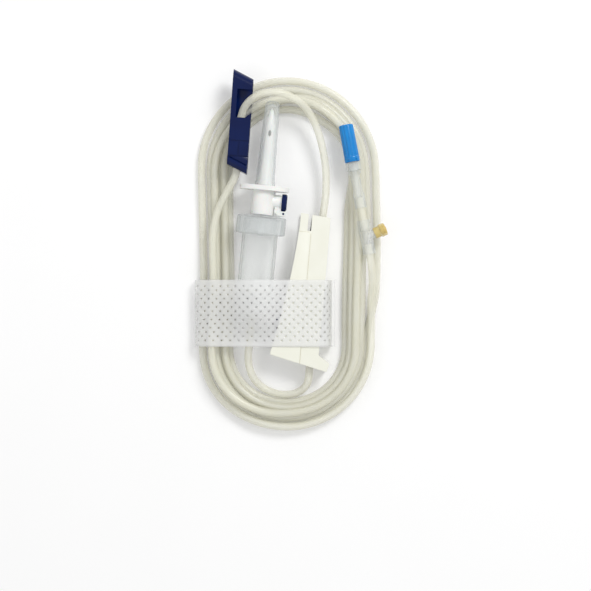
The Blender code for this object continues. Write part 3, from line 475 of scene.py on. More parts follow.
@dataclass(frozen=True)
class Plastic:
    """A moulded, extruded or rolled plastic, its shade uneven over the piece and its skin uneven.

    Attributes:
        name: The material's common name.
        colour: The shade of most of the piece.
        drift: The shade that it drifts to, as pigment and wall thickness vary.
        roughness: Of the moulded skin.
        ior: Refractive index of the polymer.
        patch: Size of the uneven patches of shade.
        grain: Size of the skin's texture.
        relief: Height of that texture.
        alpha: Coverage of a film or of a thin clear wall seen face on.
        edge: What is added to the coverage where the wall is seen edge on.
        rim: Painted shade of a thin clear wall seen edge on, standing in for the dark edges that
            refraction gives; in a tinted wall partly also its deeper tint along the longer path.
        fall: Power of the slant by which both rise towards the edge.
        painted_crease_shade: Painted shade in narrow corners, mixed in where a corner hides the sky;
            none if empty.
        painted_shade_reach: How far from a corner that painted shade reaches.
        scatter: Share of light that spreads under the skin.
        gloss: Strength of the skin's reflection.
    """

    name: str
    colour: str
    drift: str
    roughness: float
    ior: float = 1.5
    patch: float = 9 * MM
    grain: float = 0.5 * MM
    relief: float = 0.01 * MM
    alpha: float = 1.0
    edge: float = 0.0
    # Painted shade at the edges of a thin clear wall; white leaves the colour as it is
    rim: str = "#FFFFFF"
    fall: float = 2.0
    # Painted shade for creases, mixed in by ambient occlusion
    painted_crease_shade: str = ""
    painted_shade_reach: float = 0.7 * MM
    scatter: float = 0.0
    gloss: float = 0.5

    def thin_wall(self, shader: Node) -> None:
        """Makes a clear wall cover more where it is seen edge on, and paints its rim's shade in there.

        Both follow a power of the slant, which is nought face on and one edge on.

        Args:
            shader: The material's shader.
        """
        tree = shader.id_data
        slant = add(tree, "ShaderNodeLayerWeight", {"Blend": PLAIN_SLANT}).outputs["Facing"]
        rise = add(tree, "ShaderNodeMath", {0: slant, 1: self.fall}, operation="POWER").outputs[0]
        cover = {0: rise, 1: self.edge, 2: self.alpha}
        share = add(tree, "ShaderNodeMath", cover, operation="MULTIPLY_ADD")
        tree.links.new(share.outputs[0], shader.inputs["Alpha"])
        # Painted shade at the edges, standing in for the dark edges that refraction gives
        tinted(shader, rise, self.rim)

    def mix_painted_shade(self, shader: Node) -> None:
        """Mixes painted shade in where a corner hides part of the sky over the skin.

        Args:
            shader: The material's shader.
        """
        tree = shader.id_data
        # Painted shade: ambient occlusion darkens the colour in corners
        reach = {"Distance": self.painted_shade_reach}
        sky = add(
            tree, "ShaderNodeAmbientOcclusion", reach, samples=PAINTED_SHADE_SAMPLES, only_local=True
        )
        span = {"Value": sky.outputs["AO"], "From Min": PAINTED_SHADE_STARTS, "From Max": PAINTED_SHADE_FULL}
        tinted(shader, add(tree, "ShaderNodeMapRange", span).outputs[0], self.painted_crease_shade)

    def material(self) -> Material:
        """Makes the material: two shades mixed by a slow noise, and bump from a fine one.

        Returns:
            The material.
        """
        made, shader, place = clouded(self.name, self.colour, self.drift, self.patch)
        tree = made.node_tree
        skin = mottling(tree, place, self.grain, SKIN_DETAIL)
        raised = {"Height": skin, "Distance": self.relief, "Strength": 1.0}
        bump = add(tree, "ShaderNodeBump", raised)
        tree.links.new(bump.outputs["Normal"], shader.inputs["Normal"])
        skin_values = {"Roughness": self.roughness, "IOR": self.ior, "Alpha": self.alpha}
        under = {"Subsurface Weight": self.scatter, "Subsurface Scale": SCATTER_REACH}
        set_sockets(shader, {**skin_values, **under, "Specular IOR Level": self.gloss})
        if self.edge > 0.0:
            self.thin_wall(shader)
        # Painted shade in creases, where one is given
        if self.painted_crease_shade:
            self.mix_painted_shade(shader)
        return made


class Finishes:
    """Every finish of the set, made once and shared by its pieces."""

    def __init__(self) -> None:
        """Makes the materials."""
        # Extruded soft PVC: a pale yellow cast, half clear, with a wet shine; its darker cream edges
        # are partly its deeper tint there and partly painted shade
        self.tubing = Plastic(
            "extruded_pvc_tubing", "#FFFFF6", "#FDFBE9", 0.16, ior=1.54, grain=7 * MM,
            relief=0.002 * MM, alpha=0.31, edge=0.45, rim="#E4E0C8",
        ).material()
        # Injection-moulded clear styrene: thin walls that only show at their edges and by their shine,
        # with a grey painted shade at the edges
        self.clear = Plastic(
            "clear_moulded_styrene", "#FAFDFD", "#F1F6F6", 0.05, ior=1.58, grain=2 * MM,
            alpha=0.15, edge=0.88, rim="#8C989E", fall=2.4,
        ).material()
        # Drip chamber's flexible clear vinyl: a little milkier than the styrene, with a grey painted
        # shade at its edges
        self.chamber = Plastic(
            "flexible_clear_vinyl", "#FBFDFC", "#F2F6F5", 0.1, ior=1.52, grain=1.6 * MM,
            alpha=0.13, edge=0.75, rim="#A9B2B3", fall=2.6,
        ).material()
        # The spike's glass-white ABS: opaque, satin
        self.white = Plastic(
            "white_moulded_abs", "#F4F4F1", "#ECEDEA", 0.34, ior=1.54, scatter=0.1
        ).material()
        # Navy polypropylene: dark and waxy with a clear shine on its edges
        self.navy = Plastic(
            "navy_polypropylene", "#020B36", "#051E56", 0.18, ior=1.49, gloss=0.27, patch=16 * MM
        ).material()
        # Cream polystyrene: warm, opaque, soft shine, with painted shade in its creases
        self.cream = Plastic(
            "cream_moulded_polystyrene", "#F4F4E9", "#ECECDD", 0.44, ior=1.59, gloss=0.4,
            painted_crease_shade="#A3965F",
        ).material()
        # Azure polyethylene: bright, a little translucent
        self.azure = Plastic(
            "azure_polyethylene", "#0A92E0", "#0674BC", 0.2, ior=1.52, gloss=0.42, scatter=0.05
        ).material()
        # Amber styrene-butadiene: tinted and half clear; the deeper amber at its edges is partly its
        # tint along the longer path and partly painted shade
        self.amber = Plastic(
            "amber_tinted_styrene", "#F6E396", "#ECD278", 0.14, ior=1.57, alpha=0.45, edge=0.45,
            rim="#C8AA50",
        ).material()
        # Latex-free septum rubber: matt tan
        self.rubber = Plastic(
            "septum_rubber", "#CDA970", "#BE9860", 0.7, grain=0.25 * MM, relief=0.02 * MM
        ).material()
        # Membrane of felted fibres: chalky white
        self.membrane = Plastic(
            "felted_filter_membrane", "#F3F2EC", "#E6E5DD", 0.9, grain=0.2 * MM, relief=0.04 * MM
        ).material()
        # Punched polyethylene film: thin, milky, faint shine; each wall has two skins
        self.film = Plastic(
            "punched_polyethylene_film", "#FFFFFF", "#FBFCFB", 0.4, ior=1.51, alpha=0.45,
            relief=0.03 * MM, grain=0.9 * MM,
        ).material()


# Places and routes


@dataclass(frozen=True)
class Place:
    """The axes of a sub-assembly: Y along the piece, Z up, turned in plan from the hank's middle."""

    x: float
    y: float
    z: float
    tilt: float

    def to_frame(self, local: Array) -> Array:
        """Turns local points by the tilt in plan and moves them to the place.

        Args:
            local: Points on the sub-assembly's axes, one row each.

        Returns:
            The points in the frame.
        """
        c, s = math.cos(self.tilt), math.sin(self.tilt)
        turn = np.array([[c, -s, 0.0], [s, c, 0.0], [0.0, 0.0, 1.0]])
        return local @ turn.T + np.array([self.x - FRAME_X, self.y - FRAME_Y, self.z])


DRIP_PLACE = Place(-14.05 * MM, 16.96 * MM, 12.9 * MM, math.radians(-5.5))
CLAMP_PLACE = Place(15.6 * MM, -56.2 * MM, 7.7 * MM, math.radians(-5.0))
DELIVERY_PLACE = Place(41.1 * MM, 10.6 * MM, 12.1 * MM, math.radians(10.5))
HANK_PLACE = Place(0.0, 0.0, 0.0, 0.0)


def chosen(route: tuple[Point, ...]) -> Array:
    """A route given in millimetres from the middle of the hank, in the frame."""
    return HANK_PLACE.to_frame(np.array(route) * MM)


CHAMBER_LINE = (
    (-18.52, -29.4, 12.9), (-19.13, -35.8, 12.8), (-19.8, -42.5, 11.7), (-20.8, -50.5, 8.6),
    (-20.4, -57.5, 5.2), (-17.6, -64.2, 2.9), (-12.2, -69.2, 2.1), (-5.2, -71.9, 2.1),
    (1.6, -72.0, 2.5), (6.8, -70.0, 4.2), (9.9, -66.6, 6.5), (10.8, -63.6, 7.5),
)
ARC_LINE = (
    (18.74, 24.3, 7.7), (19.9, 34.0, 7.8), (19.9, 46.0, 8.5), (18.2, 57.2, 9.4),
    (15.8, 66.0, 10.0), (12.4, 73.6, 10.9), (8.4, 79.0, 13.6), (3.4, 82.5, 17.1),
    (-2.2, 84.7, 19.7), (-7.6, 85.4, 20.5), (-13.2, 84.8, 19.5), (-18.2, 82.7, 17.2),
    (-22.3, 78.7, 14.5), (-24.3, 73.8, 12.9), (-24.9, 70.0, 12.7), (-25.6, 59.0, 12.7),
    (-26.5, 46.5, 12.7), (-28.2, 41.0, 12.6), (-31.8, 34.5, 11.8), (-36.5, 25.0, 10.4),
    (-39.2, 13.0, 10.1),
)
SITE_LINE = (
    (43.8, -22.0, 6.9), (44.3, -13.0, 9.6), (43.8, -5.0, 11.6), (42.85, 1.2, 12.1),
    (42.25, 4.4, 12.1), (41.76, 7.05, 12.1),
)


class Lane(Enum):
    """Where a strand lies in the hank's section: in from the outer edge, and up, in millimetres."""

    ON_TOP_OUTER = (7.5, 9.9)
    ON_TOP = (11.8, 8.5)
    UPPER_OUTER = (4.6, 5.25)
    UPPER_MIDDLE = (9.4, 5.25)
    UPPER_INNER = (14.2, 5.25)
    LOWER_OUTER = (2.2, 2.05)
    LOWER_SECOND = (7.0, 2.05)
    LOWER_THIRD = (11.8, 2.05)
    LOWER_INNER = (16.6, 2.05)


@dataclass(frozen=True)
class LaneChange:
    """A strand's move to a lane, between two distances round a turn, in millimetres."""

    turn: int
    start: float
    end: float
    lane: Lane


LANE_CHANGES = (
    LaneChange(0, 55, 115, Lane.ON_TOP),
    LaneChange(0, 345, 385, Lane.UPPER_MIDDLE),
    LaneChange(1, 305, 340, Lane.UPPER_INNER),
    LaneChange(2, 270, 305, Lane.LOWER_INNER),
    LaneChange(3, 235, 270, Lane.LOWER_THIRD),
    LaneChange(4, 200, 235, Lane.LOWER_SECOND),
    LaneChange(5, 165, 200, Lane.LOWER_OUTER),
    LaneChange(6, 60, 100, Lane.UPPER_OUTER),
)


@dataclass
class Hank:
    """The wound turns: strands side by side in two layers round a long stadium."""

    width: float = 95.4 * MM
    length: float = 188.7 * MM
    middle_lane: float = 9.4 * MM
    last_turn: int = 6
    last_distance: float = 188 * MM
    knot_spacing: float = 9 * MM
    band_lift: float = 0.6 * MM
    band_zone: Zone = (-68 * MM, 6 * MM, 18 * MM, 16 * MM)
    fan: float = 0.1
    sway: Waves = ((0.7, 1.0, 0.6), (0.45, 1 / 3, 1.9), (0.3, 1 / 5, 0.0))
    looseness: Waves = ((0.16, 37 * MM, 0.0), (0.12, 13 * MM, 1.0))
    changes: tuple[LaneChange, ...] = LANE_CHANGES

    def half_leg(self) -> float:
        """From the middle of a straight leg to its end."""
        return (self.length - self.width) / 2

    def bend(self) -> float:
        """The length of one round end along the middle lane."""
        return math.pi * (self.width / 2 - self.middle_lane)

    def turn_length(self) -> float:
        """Once round the middle lane."""
        return 4 * self.half_leg() + 2 * self.bend()

    def lanes(self, run: Array) -> tuple[Array, Array]:
        """The lane at each distance from the start of the winding.

        Each change adds its eased share of the step from the lane before it.

        Args:
            run: Distances along all the turns.

        Returns:
            How far in from the outer edge each point lies, and its height.
        """
        inward, height = Lane.ON_TOP_OUTER.value
        inward = np.full(len(run), inward)
        height = np.full(len(run), height)
        last = Lane.ON_TOP_OUTER
        for change in self.changes:
            begins = change.turn * self.turn_length() + change.start * MM
            share = smoothstep((run - begins) / ((change.end - change.start) * MM))
            inward = inward + share * (change.lane.value[0] - last.value[0])
            height = height + share * (change.lane.value[1] - last.value[1])
            last = change.lane
        return inward * MM, height * MM

    def strand(self) -> Array:
        """Knots along every turn.

        A distance round the turn picks a straight leg or a round end; the point lies in from the
        outer edge by its lane. All turns sway by a sum of sines that closes over a turn, and spread
        round the upper end. The left leg rides over the film.

        Returns:
            Points in the frame, one row each.
        """
        whole = self.last_turn * self.turn_length() + self.last_distance
        run = np.arange(0.0, whole, self.knot_spacing)
        inward, height = self.lanes(run)
        half, bend = self.half_leg(), self.bend()
        phase = 2 * np.pi * run / self.turn_length()
        astray = waved(phase, self.sway) + waved(run, self.looseness)
        spread = 1.0 + self.fan * (0.5 - 0.5 * np.cos(phase))
        inward = self.middle_lane + (inward - self.middle_lane) * spread + astray * MM
        radius = self.width / 2 - inward
        at = np.mod(run, self.turn_length())
        low_turn = (at - half) / (bend / np.pi)
        high_turn = (at - 3 * half - bend) / (bend / np.pi)
        where = [at < half, at < half + bend, at < 3 * half + bend, at < 3 * half + 2 * bend]
        sides = [-radius, -radius * np.cos(low_turn), radius, radius * np.cos(high_turn)]
        x = np.select(where, sides, -radius)
        low_end, high_end = -half - radius * np.sin(low_turn), half + radius * np.sin(high_turn)
        y = np.select(where, [-at, low_end, at - 2 * half - bend, high_end], self.turn_length() - at)
        over_film = np.where(x < 0, eased_zone(y, *self.band_zone), 0.0)
        height = height + over_film * self.band_lift
        return HANK_PLACE.to_frame(np.stack([x, y, height], axis=1))


@dataclass
class Line:
    """The tubing: from the chamber to the roller clamp, inside it, and on through the hank."""

    finishes: Finishes
    hank: Hank = field(default_factory=Hank)
    tube_x: float = -4.1 * MM
    clamp_foot: tuple[float, ...] = (-4.6 * MM, -1.0 * MM, 4.0 * MM)
    clamp_low: float = 9.0 * MM
    clamp_middle: float = 40 * MM
    clamp_high: float = 71.0 * MM
    clamp_mouth: float = 74 * MM
    clamp_top: float = 77.0 * MM
    parting: float = 0.05 * MM
    pinched: float = 1.0 * MM
    spacing: float = 1.6 * MM
    socket_start: float = 3.3 * MM
    socket_end: float = 21.2 * MM
    socket_points: int = 12
    around: int = 20

    def tube(self, name: str, path: Array, *nodes: str) -> Object:
        """Makes one stretch of hollow tubing.

        Args:
            name: The piece's name.
            path: Points of its centreline.
            nodes: The CAD nodes that it stands for.

        Returns:
            The piece.
        """
        points, faces = hollow_tube(path, TUBE_D / 2, BORE_D / 2, self.around)
        piece = mesh_piece(name, points, [faces], self.finishes.tubing)
        return settled(piece, SET, "pvc_tubing", *nodes)

    def cord(self, name: str, knots: Sequence[Array], lay: str, digits: int, *nodes: str) -> None:
        """Makes a free stretch of the line.

        Args:
            name: The piece's name.
            knots: Groups of the points that its route runs through.
            lay: How it lies; not used.
            digits: Decimals of a length in metres; not used.
            nodes: The CAD nodes that it stands for.
        """
        path = smooth_route(np.vstack(knots), self.spacing)
        piece = self.tube(name, path, *nodes)

    def in_clamp(self, *along: float) -> Array:
        """Points on the clamp's base where the tube lies, at distances up the clamp."""
        return CLAMP_PLACE.to_frame(level_points(self.tube_x, along))

    def build_chamber_line(self) -> None:
        """The stretch from the drip chamber's outlet round into the bottom of the clamp."""
        foot = self.in_clamp(*self.clamp_foot, self.clamp_low - self.parting)
        knots = [chosen(CHAMBER_LINE), foot]
        self.cord("chamber_line", knots, "loose", 3, "tube_from_chamber")

    def build_clamped_line(self) -> None:
        """The stretch that the roller flattens against the clamp's base."""
        knots = self.in_clamp(self.clamp_low, self.clamp_middle, self.clamp_high)
        piece = self.tube("clamped_line", smooth_route(knots, self.spacing), "tube_in_clamp")
        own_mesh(piece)

    def build_main_line(self) -> None:
        """The long run: out of the clamp's top, over the arc, round the hank and to the Y-site."""
        mouth = self.in_clamp(self.clamp_high + self.parting, self.clamp_mouth, self.clamp_top)
        knots = [mouth, chosen(ARC_LINE), self.hank.strand(), chosen(SITE_LINE)]
        self.cord("main_line", knots, "coiled", 2, "tube_arc", "tube_hank", "tube_to_y_site")

    def build_delivery_tube(self) -> None:
        """The short stretch between the Y-site and the luer connector."""
        along = np.linspace(self.socket_start, self.socket_end, self.socket_points)
        path = DELIVERY_PLACE.to_frame(level_points(0.0, along))
        self.tube("delivery_tube", path, "luer_tube")

    def build(self) -> None:
        """Builds every stretch."""
        self.build_chamber_line()
        self.build_clamped_line()
        self.build_main_line()
        self.build_delivery_tube()


@dataclass
class RetainingBand:
    """A sleeve of punched film round the left leg, the chamber and the roller clamp."""

    finishes: Finishes
    low_y: float = -46.6 * MM
    high_y: float = -11.7 * MM
    pitch: float = 2.3 * MM
    hole: float = 0.5 * MM
    thickness: float = 0.16 * MM
    spacing: float = 0.4 * MM
    right_and_under: Section = (
        (23.1, 1.2), (22.4, 0.3), (14.0, 0.2), (0.0, 0.2), (-20.0, 0.2), (-38.0, 0.2),
        (-46.8, 0.25), (-48.4, 1.2), (-48.9, 4.0), (-48.1, 7.6), (-44.6, 10.4),
    )
    across: tuple[float, ...] = (-40.2, -34.0, -28.0, -23.2, -17.6, -12.4, -7.6, -3.0, 2.0)
    over_chamber: tuple[float, ...] = (12.9, 16.0, 19.4, 22.0, 23.6, 22.4, 19.9, 17.3, 15.6)
    below_chamber: tuple[float, ...] = (12.7, 12.9, 13.1, 13.4, 13.8, 14.4, 15.0, 15.2, 15.3)
    over_clamp: Section = ((10.0, 15.2), (18.4, 15.2), (20.6, 13.9), (22.3, 9.5), (23.1, 4.8))
    full_share: float = 0.59
    seam_in: tuple[float, float] = (22.75, 7.6)
    seam_out: tuple[float, float] = (24.6, 6.3)
    seam_rows: int = 120
    seam_columns: int = 7
    seam_waves: Waves = ((0.3, 5.3 * MM, 0.4), (0.2, 2.1 * MM, 0.0))
    crimp_height: float = 0.06
    crimp_pitch: float = 0.9 * MM

    def section(self, heights: tuple[float, ...]) -> Array:
        """The closed section with these heights between the strands and the clamp."""
        middle = tuple(zip(self.across, heights))
        return np.array(self.right_and_under + middle + self.over_clamp) * MM

    def round_the_bundle(self, heights: tuple[float, ...], count: int) -> Array:
        """Reads evenly spaced points of a closed section through its corners.

        Args:
            heights: The section's heights between the strands and the clamp.
            count: How many points.

        Returns:
            Their X and Z, one row each.
        """
        flat = self.section(heights)
        closed = np.column_stack([np.vstack([flat, flat[:1]]), np.zeros(len(flat) + 1)])
        fine = smooth_route(closed, self.spacing)
        run = np.linspace(0, len(fine) - 1, count + 1)[:-1]
        return np.stack([np.interp(run, np.arange(len(fine)), fine[:, k]) for k in (0, 1)], axis=1)

    def surface(self, u: Array, v: Array, upper: Array, lower: Array) -> Array:
        """Places points of the flat film on the bundle.

        A point mixes the two sections by v, eased, and takes its Y from v.

        Args:
            u: Half pitches round the section.
            v: From 0 at the lower edge to 1 at the upper.
            upper: The section over the chamber.
            lower: The section below it.

        Returns:
            Points in the frame, one row each.
        """
        count = len(upper)
        whole = np.floor(u).astype(int)
        part = (u - whole)[:, None]
        both = np.stack([lower, upper])
        low, high = both[:, whole % count] * (1 - part) + both[:, (whole + 1) % count] * part
        share = smoothstep(v / self.full_share)[:, None]
        place = low * (1 - share) + high * share
        y = self.low_y + v * (self.high_y - self.low_y)
        return HANK_PLACE.to_frame(np.column_stack([place[:, 0], y, place[:, 1]]))

    def punched(self) -> tuple[Array, Array, int]:
        """The film's cells in flat columns and rows of half pitches.

        Cells of one pitch make a chequerboard. A dark cell's middle gives way to eight points on a
        circle, joined to the cell's eight edge points. A light cell is four plain faces.

        Returns:
            Flat places, faces of four vertex numbers, and the number of half pitches round.
        """
        rows = 2 * round((self.high_y - self.low_y) / self.pitch / 2)
        around = self.cells_around()
        tall, wide = 2 * rows + 1, 2 * around
        r, c = np.indices((tall, wide))
        flat = np.column_stack([c.ravel(), r.ravel()]).astype(float)
        cell_r, cell_c = np.indices((rows, around))
        dark = ((cell_r + cell_c) % 2 == 0) & (cell_r > 0) & (cell_r < rows - 1)
        edge_r = np.array([0, 0, 0, 1, 2, 2, 2, 1])
        edge_c = np.array([0, 1, 2, 2, 2, 1, 0, 0])
        rim = (2 * cell_r[..., None] + edge_r) * wide + (2 * cell_c[..., None] + edge_c) % wide
        middle = (2 * cell_r + 1) * wide + 2 * cell_c + 1
        angle = np.arctan2(edge_r - 1, edge_c - 1)
        circle = np.column_stack([np.cos(angle), np.sin(angle)]) * (self.hole / (self.pitch / 2))
        centre = np.column_stack([2 * cell_c[dark] + 1, 2 * cell_r[dark] + 1])
        ring = (centre[:, None] + circle).reshape(-1, 2)
        inner = len(flat) + np.arange(len(ring)).reshape(-1, 8)
        holed, plain, core = rim[dark], rim[~dark], middle[~dark][:, None]
        collar = [holed, np.roll(holed, -1, 1), np.roll(inner, -1, 1), inner]
        thirds = ([7, 0, 1], [1, 2, 3], [3, 4, 5], [5, 6, 7])
        quarters = [np.concatenate([plain[:, three], core], axis=1) for three in thirds]
        used = np.vstack([np.stack(collar, axis=-1).reshape(-1, 4), *quarters])
        kept, faces = np.unique(used, return_inverse=True)
        places = np.vstack([flat, ring])[kept]
        places[:, 1] /= tall - 1
        return places, faces.reshape(-1, 4), wide

    def film(self, name: str, points: Array, faces: Array, thickness: float) -> Object:
        """Makes a piece of film with its thickness.

        Args:
            name: The piece's name.
            points: Vertex places in the frame.
            faces: Four vertex numbers each.
            thickness: From skin to skin.

        Returns:
            The piece.
        """
        piece = mesh_piece(name, points, [faces], self.finishes.film)
        wall = piece.modifiers.new("film", "SOLIDIFY")
        wall.thickness = thickness
        wall.offset = 0.0
        return settled(piece, SET, "band_film", "retaining_band")

    def build_seam(self) -> Object:
        """The welded strip where the film's two ends meet, along the sleeve's right side.

        The first column lies on the sleeve and the last is the free edge. The height falls evenly
        between them and waves by two sines along Y, more towards the free edge. Crimps cross it.

        Returns:
            The strip.
        """
        rows, columns = self.seam_rows, self.seam_columns
        v, u = np.meshgrid(np.linspace(0.0, 1.0, rows), np.linspace(0.0, 1.0, columns), indexing="ij")
        y = self.low_y + v * (self.high_y - self.low_y)
        x = (self.seam_in[0] + u * (self.seam_out[0] - self.seam_in[0])) * MM
        slope = self.seam_out[1] - self.seam_in[1]
        crimp = self.crimp_height * np.sin(2 * np.pi * y / self.crimp_pitch)
        z = (self.seam_in[1] + u * slope + u * waved(y, self.seam_waves) + crimp) * MM
        points = HANK_PLACE.to_frame(np.stack([x, y, z], axis=-1).reshape(-1, 3))
        faces = grid_faces(rows, columns, False, False)
        return self.film("film_seam", points, faces, 2 * self.thickness)

    def cells_around(self) -> int:
        """Counts the pitches round the upper section.

        Returns:
            The nearest even number of them.
        """
        flat = self.section(self.over_chamber)
        whole = np.linalg.norm(np.diff(np.vstack([flat, flat[:1]]), axis=0), axis=1).sum()
        return 2 * round(whole / self.pitch / 2)

    def build(self) -> None:
        """Builds the film and its seam, each with its thickness."""
        places, faces, count = self.punched()
        upper = self.round_the_bundle(self.over_chamber, count)
        lower = self.round_the_bundle(self.below_chamber, count)
        points = self.surface(places[:, 0], places[:, 1], upper, lower)
        piece = self.film("film_band", points, faces, self.thickness)
        seam = self.build_seam()


@dataclass(frozen=True)
class Turning:
    """A turned shape.

    Attributes:
        edge: How far from a corner its rounding starts.
        steps: Points on each ring.
        profile: Corners of radius and height, in millimetres.
    """

    edge: float
    steps: int
    profile: Section


@dataclass(frozen=True)
class Grooves:
    """Grooves round a turned piece, cut by their depth times an eased cosine.

    Attributes:
        count: Grooves on a ring.
        depth: How deep each is.
        steep: What the cosine is stretched by, which makes their sides steep.
        lift: What is added to it, which makes them wide.
        zone: The heights where they start and end, and the lengths over which they ease.
    """

    count: int
    depth: float
    steep: float
    lift: float
    zone: Zone

    def cut(self, height: Array, angle: Array) -> Array:
        """How deep the piece is cut at each point."""
        groove = smoothstep(np.cos(angle * self.count) * self.steep + self.lift)
        return self.depth * groove * eased_zone(height, *self.zone)


@dataclass
class MouldedParts:
    """What the sub-assemblies share: their finishes and how a turned piece is put in its place."""

    finishes: Finishes

    def moulding(
        self,
        name: str,
        node: str,
        body: str,
        slot: str,
        shape: Turning,
        place: Place,
        finish: Material,
        swell: Swell | None = None,
    ) -> None:
        """Puts a turned shape in its place instead of a CAD node.

        Args:
            name: The piece's name.
            node: The CAD node that it stands for.
            body: The body that it rides on.
            slot: The name of a material slot.
            shape: Its profile, rounding and steps.
            place: The axes of its sub-assembly.
            finish: Its material.
            swell: What its ribs or flutes add to the radius.
        """
        ring = shape.profile[0][0] > 0.0
        points, faces = turned(rounded(shape.profile, shape.edge, ring), shape.steps, swell)
        piece = mesh_piece(name, place.to_frame(points), faces, finish)
        outward(piece)
        piece.data.set_sharp_from_angle(angle=TURNED_EDGE)
        settled(piece, body, slot, node)

    def copy(self, node: str, name: str, body: str, slot: str, edge: float, finish: Material) -> None:
        """Puts a softened copy of a node, with its name, body, edge and finish, for the node."""
        settled(softened(node, name, edge, finish), body, slot, node)

    def dress(self, finish: Material, *nodes: str) -> None:
        """Puts a finish on nodes whose CAD shape stays.

        Args:
            finish: The material.
            nodes: The nodes' names.
        """
        for name in nodes:
            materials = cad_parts[name].data.materials
            materials.clear()
            materials.append(finish)
            LOG.info("%s: %s", name, finish.name)


@dataclass
class DripEnd(MouldedParts):
    """Spike under its cap, vent flap, collar with the drop former, and the drip chamber."""

    cap: Turning = Turning(
        0.8 * MM, 96, (
            (0.0, 65.0), (3.0, 64.7), (3.8, 62.8), (4.9, 23.0), (5.25, 22.6), (5.25, 20.7),
            (4.3, 20.7), (4.2, 24.0), (3.1, 62.0), (0.0, 63.8),
        )
    )
    top: Turning = Turning(
        0.3 * MM, 160, (
            (8.6, 5.0), (8.6, 4.5), (12.3, 4.5), (12.9, 3.9), (12.9, 3.6), (12.9, 3.0),
            (12.9, -3.0), (12.9, -3.6), (12.9, -3.9), (12.7, -4.8), (11.6, -4.8), (11.6, 3.4),
            (8.0, 3.4), (8.0, -3.6), (6.7, -3.6), (6.7, 3.4), (2.0, 3.4), (1.6, -5.6),
            (0.8, -5.6), (0.8, 5.0),
        )
    )
    chamber: Turning = Turning(
        0.5 * MM, 96, (
            (9.3, 3.1), (9.3, -33.4), (9.1, -34.0), (9.3, -34.6), (9.3, -38.0), (8.1, -40.6),
            (4.4, -42.0), (3.6, -43.6), (3.6, -46.0), (3.3, -46.6), (3.6, -47.2), (3.6, -53.0),
            (2.3, -53.0), (2.3, -46.0), (1.4, -46.0), (1.4, -40.4), (7.5, -36.8), (7.5, -35.6),
            (8.3, -35.6), (8.3, 3.1),
        )
    )
    spike_edge: float = 0.3 * MM
    flap_edge: float = 0.25 * MM
    grip_ribs: int = 40
    grip_depth: float = 0.16 * MM
    grip_zone: Zone = (-4.4 * MM, 3.9 * MM, 0.6 * MM, 0.6 * MM)
    skirt_radius: float = 12.5 * MM
    skirt_ease: float = 0.3 * MM

    def grip(self, radius: Array, height: Array, angle: Array) -> Array:
        """Sinks the skirt between its ribs: the depth times the square of half the ribs' sine.

        Args:
            radius, height, angle: The turned grid.

        Returns:
            What is added to the radius.
        """
        skirt = smoothstep((radius - self.skirt_radius) / self.skirt_ease)
        side = skirt * eased_zone(height, *self.grip_zone)
        return -self.grip_depth * side * np.sin(angle * self.grip_ribs / 2) ** 2

    def build(self) -> None:
        """Builds the pieces of the drip end."""
        made, here, slot = self.finishes, DRIP_PLACE, "clear_plastic"
        self.moulding("spike_cap_shell", "spike_cap", "spike_cap", slot, self.cap, here, made.clear)
        self.moulding(
            "collar_and_former", "chamber_top", SET, slot, self.top, here, made.clear, self.grip
        )
        self.moulding("chamber_wall", "drip_chamber", SET, slot, self.chamber, here, made.chamber)
        self.copy("spike_body", "spike_moulding", SET, "white_plastic", self.spike_edge, made.white)
        self.copy("vent_cap", "vent_flap", "vent_cap", "navy_plastic", self.flap_edge, made.navy)
        self.dress(made.membrane, "vent_filter", "fluid_filter")


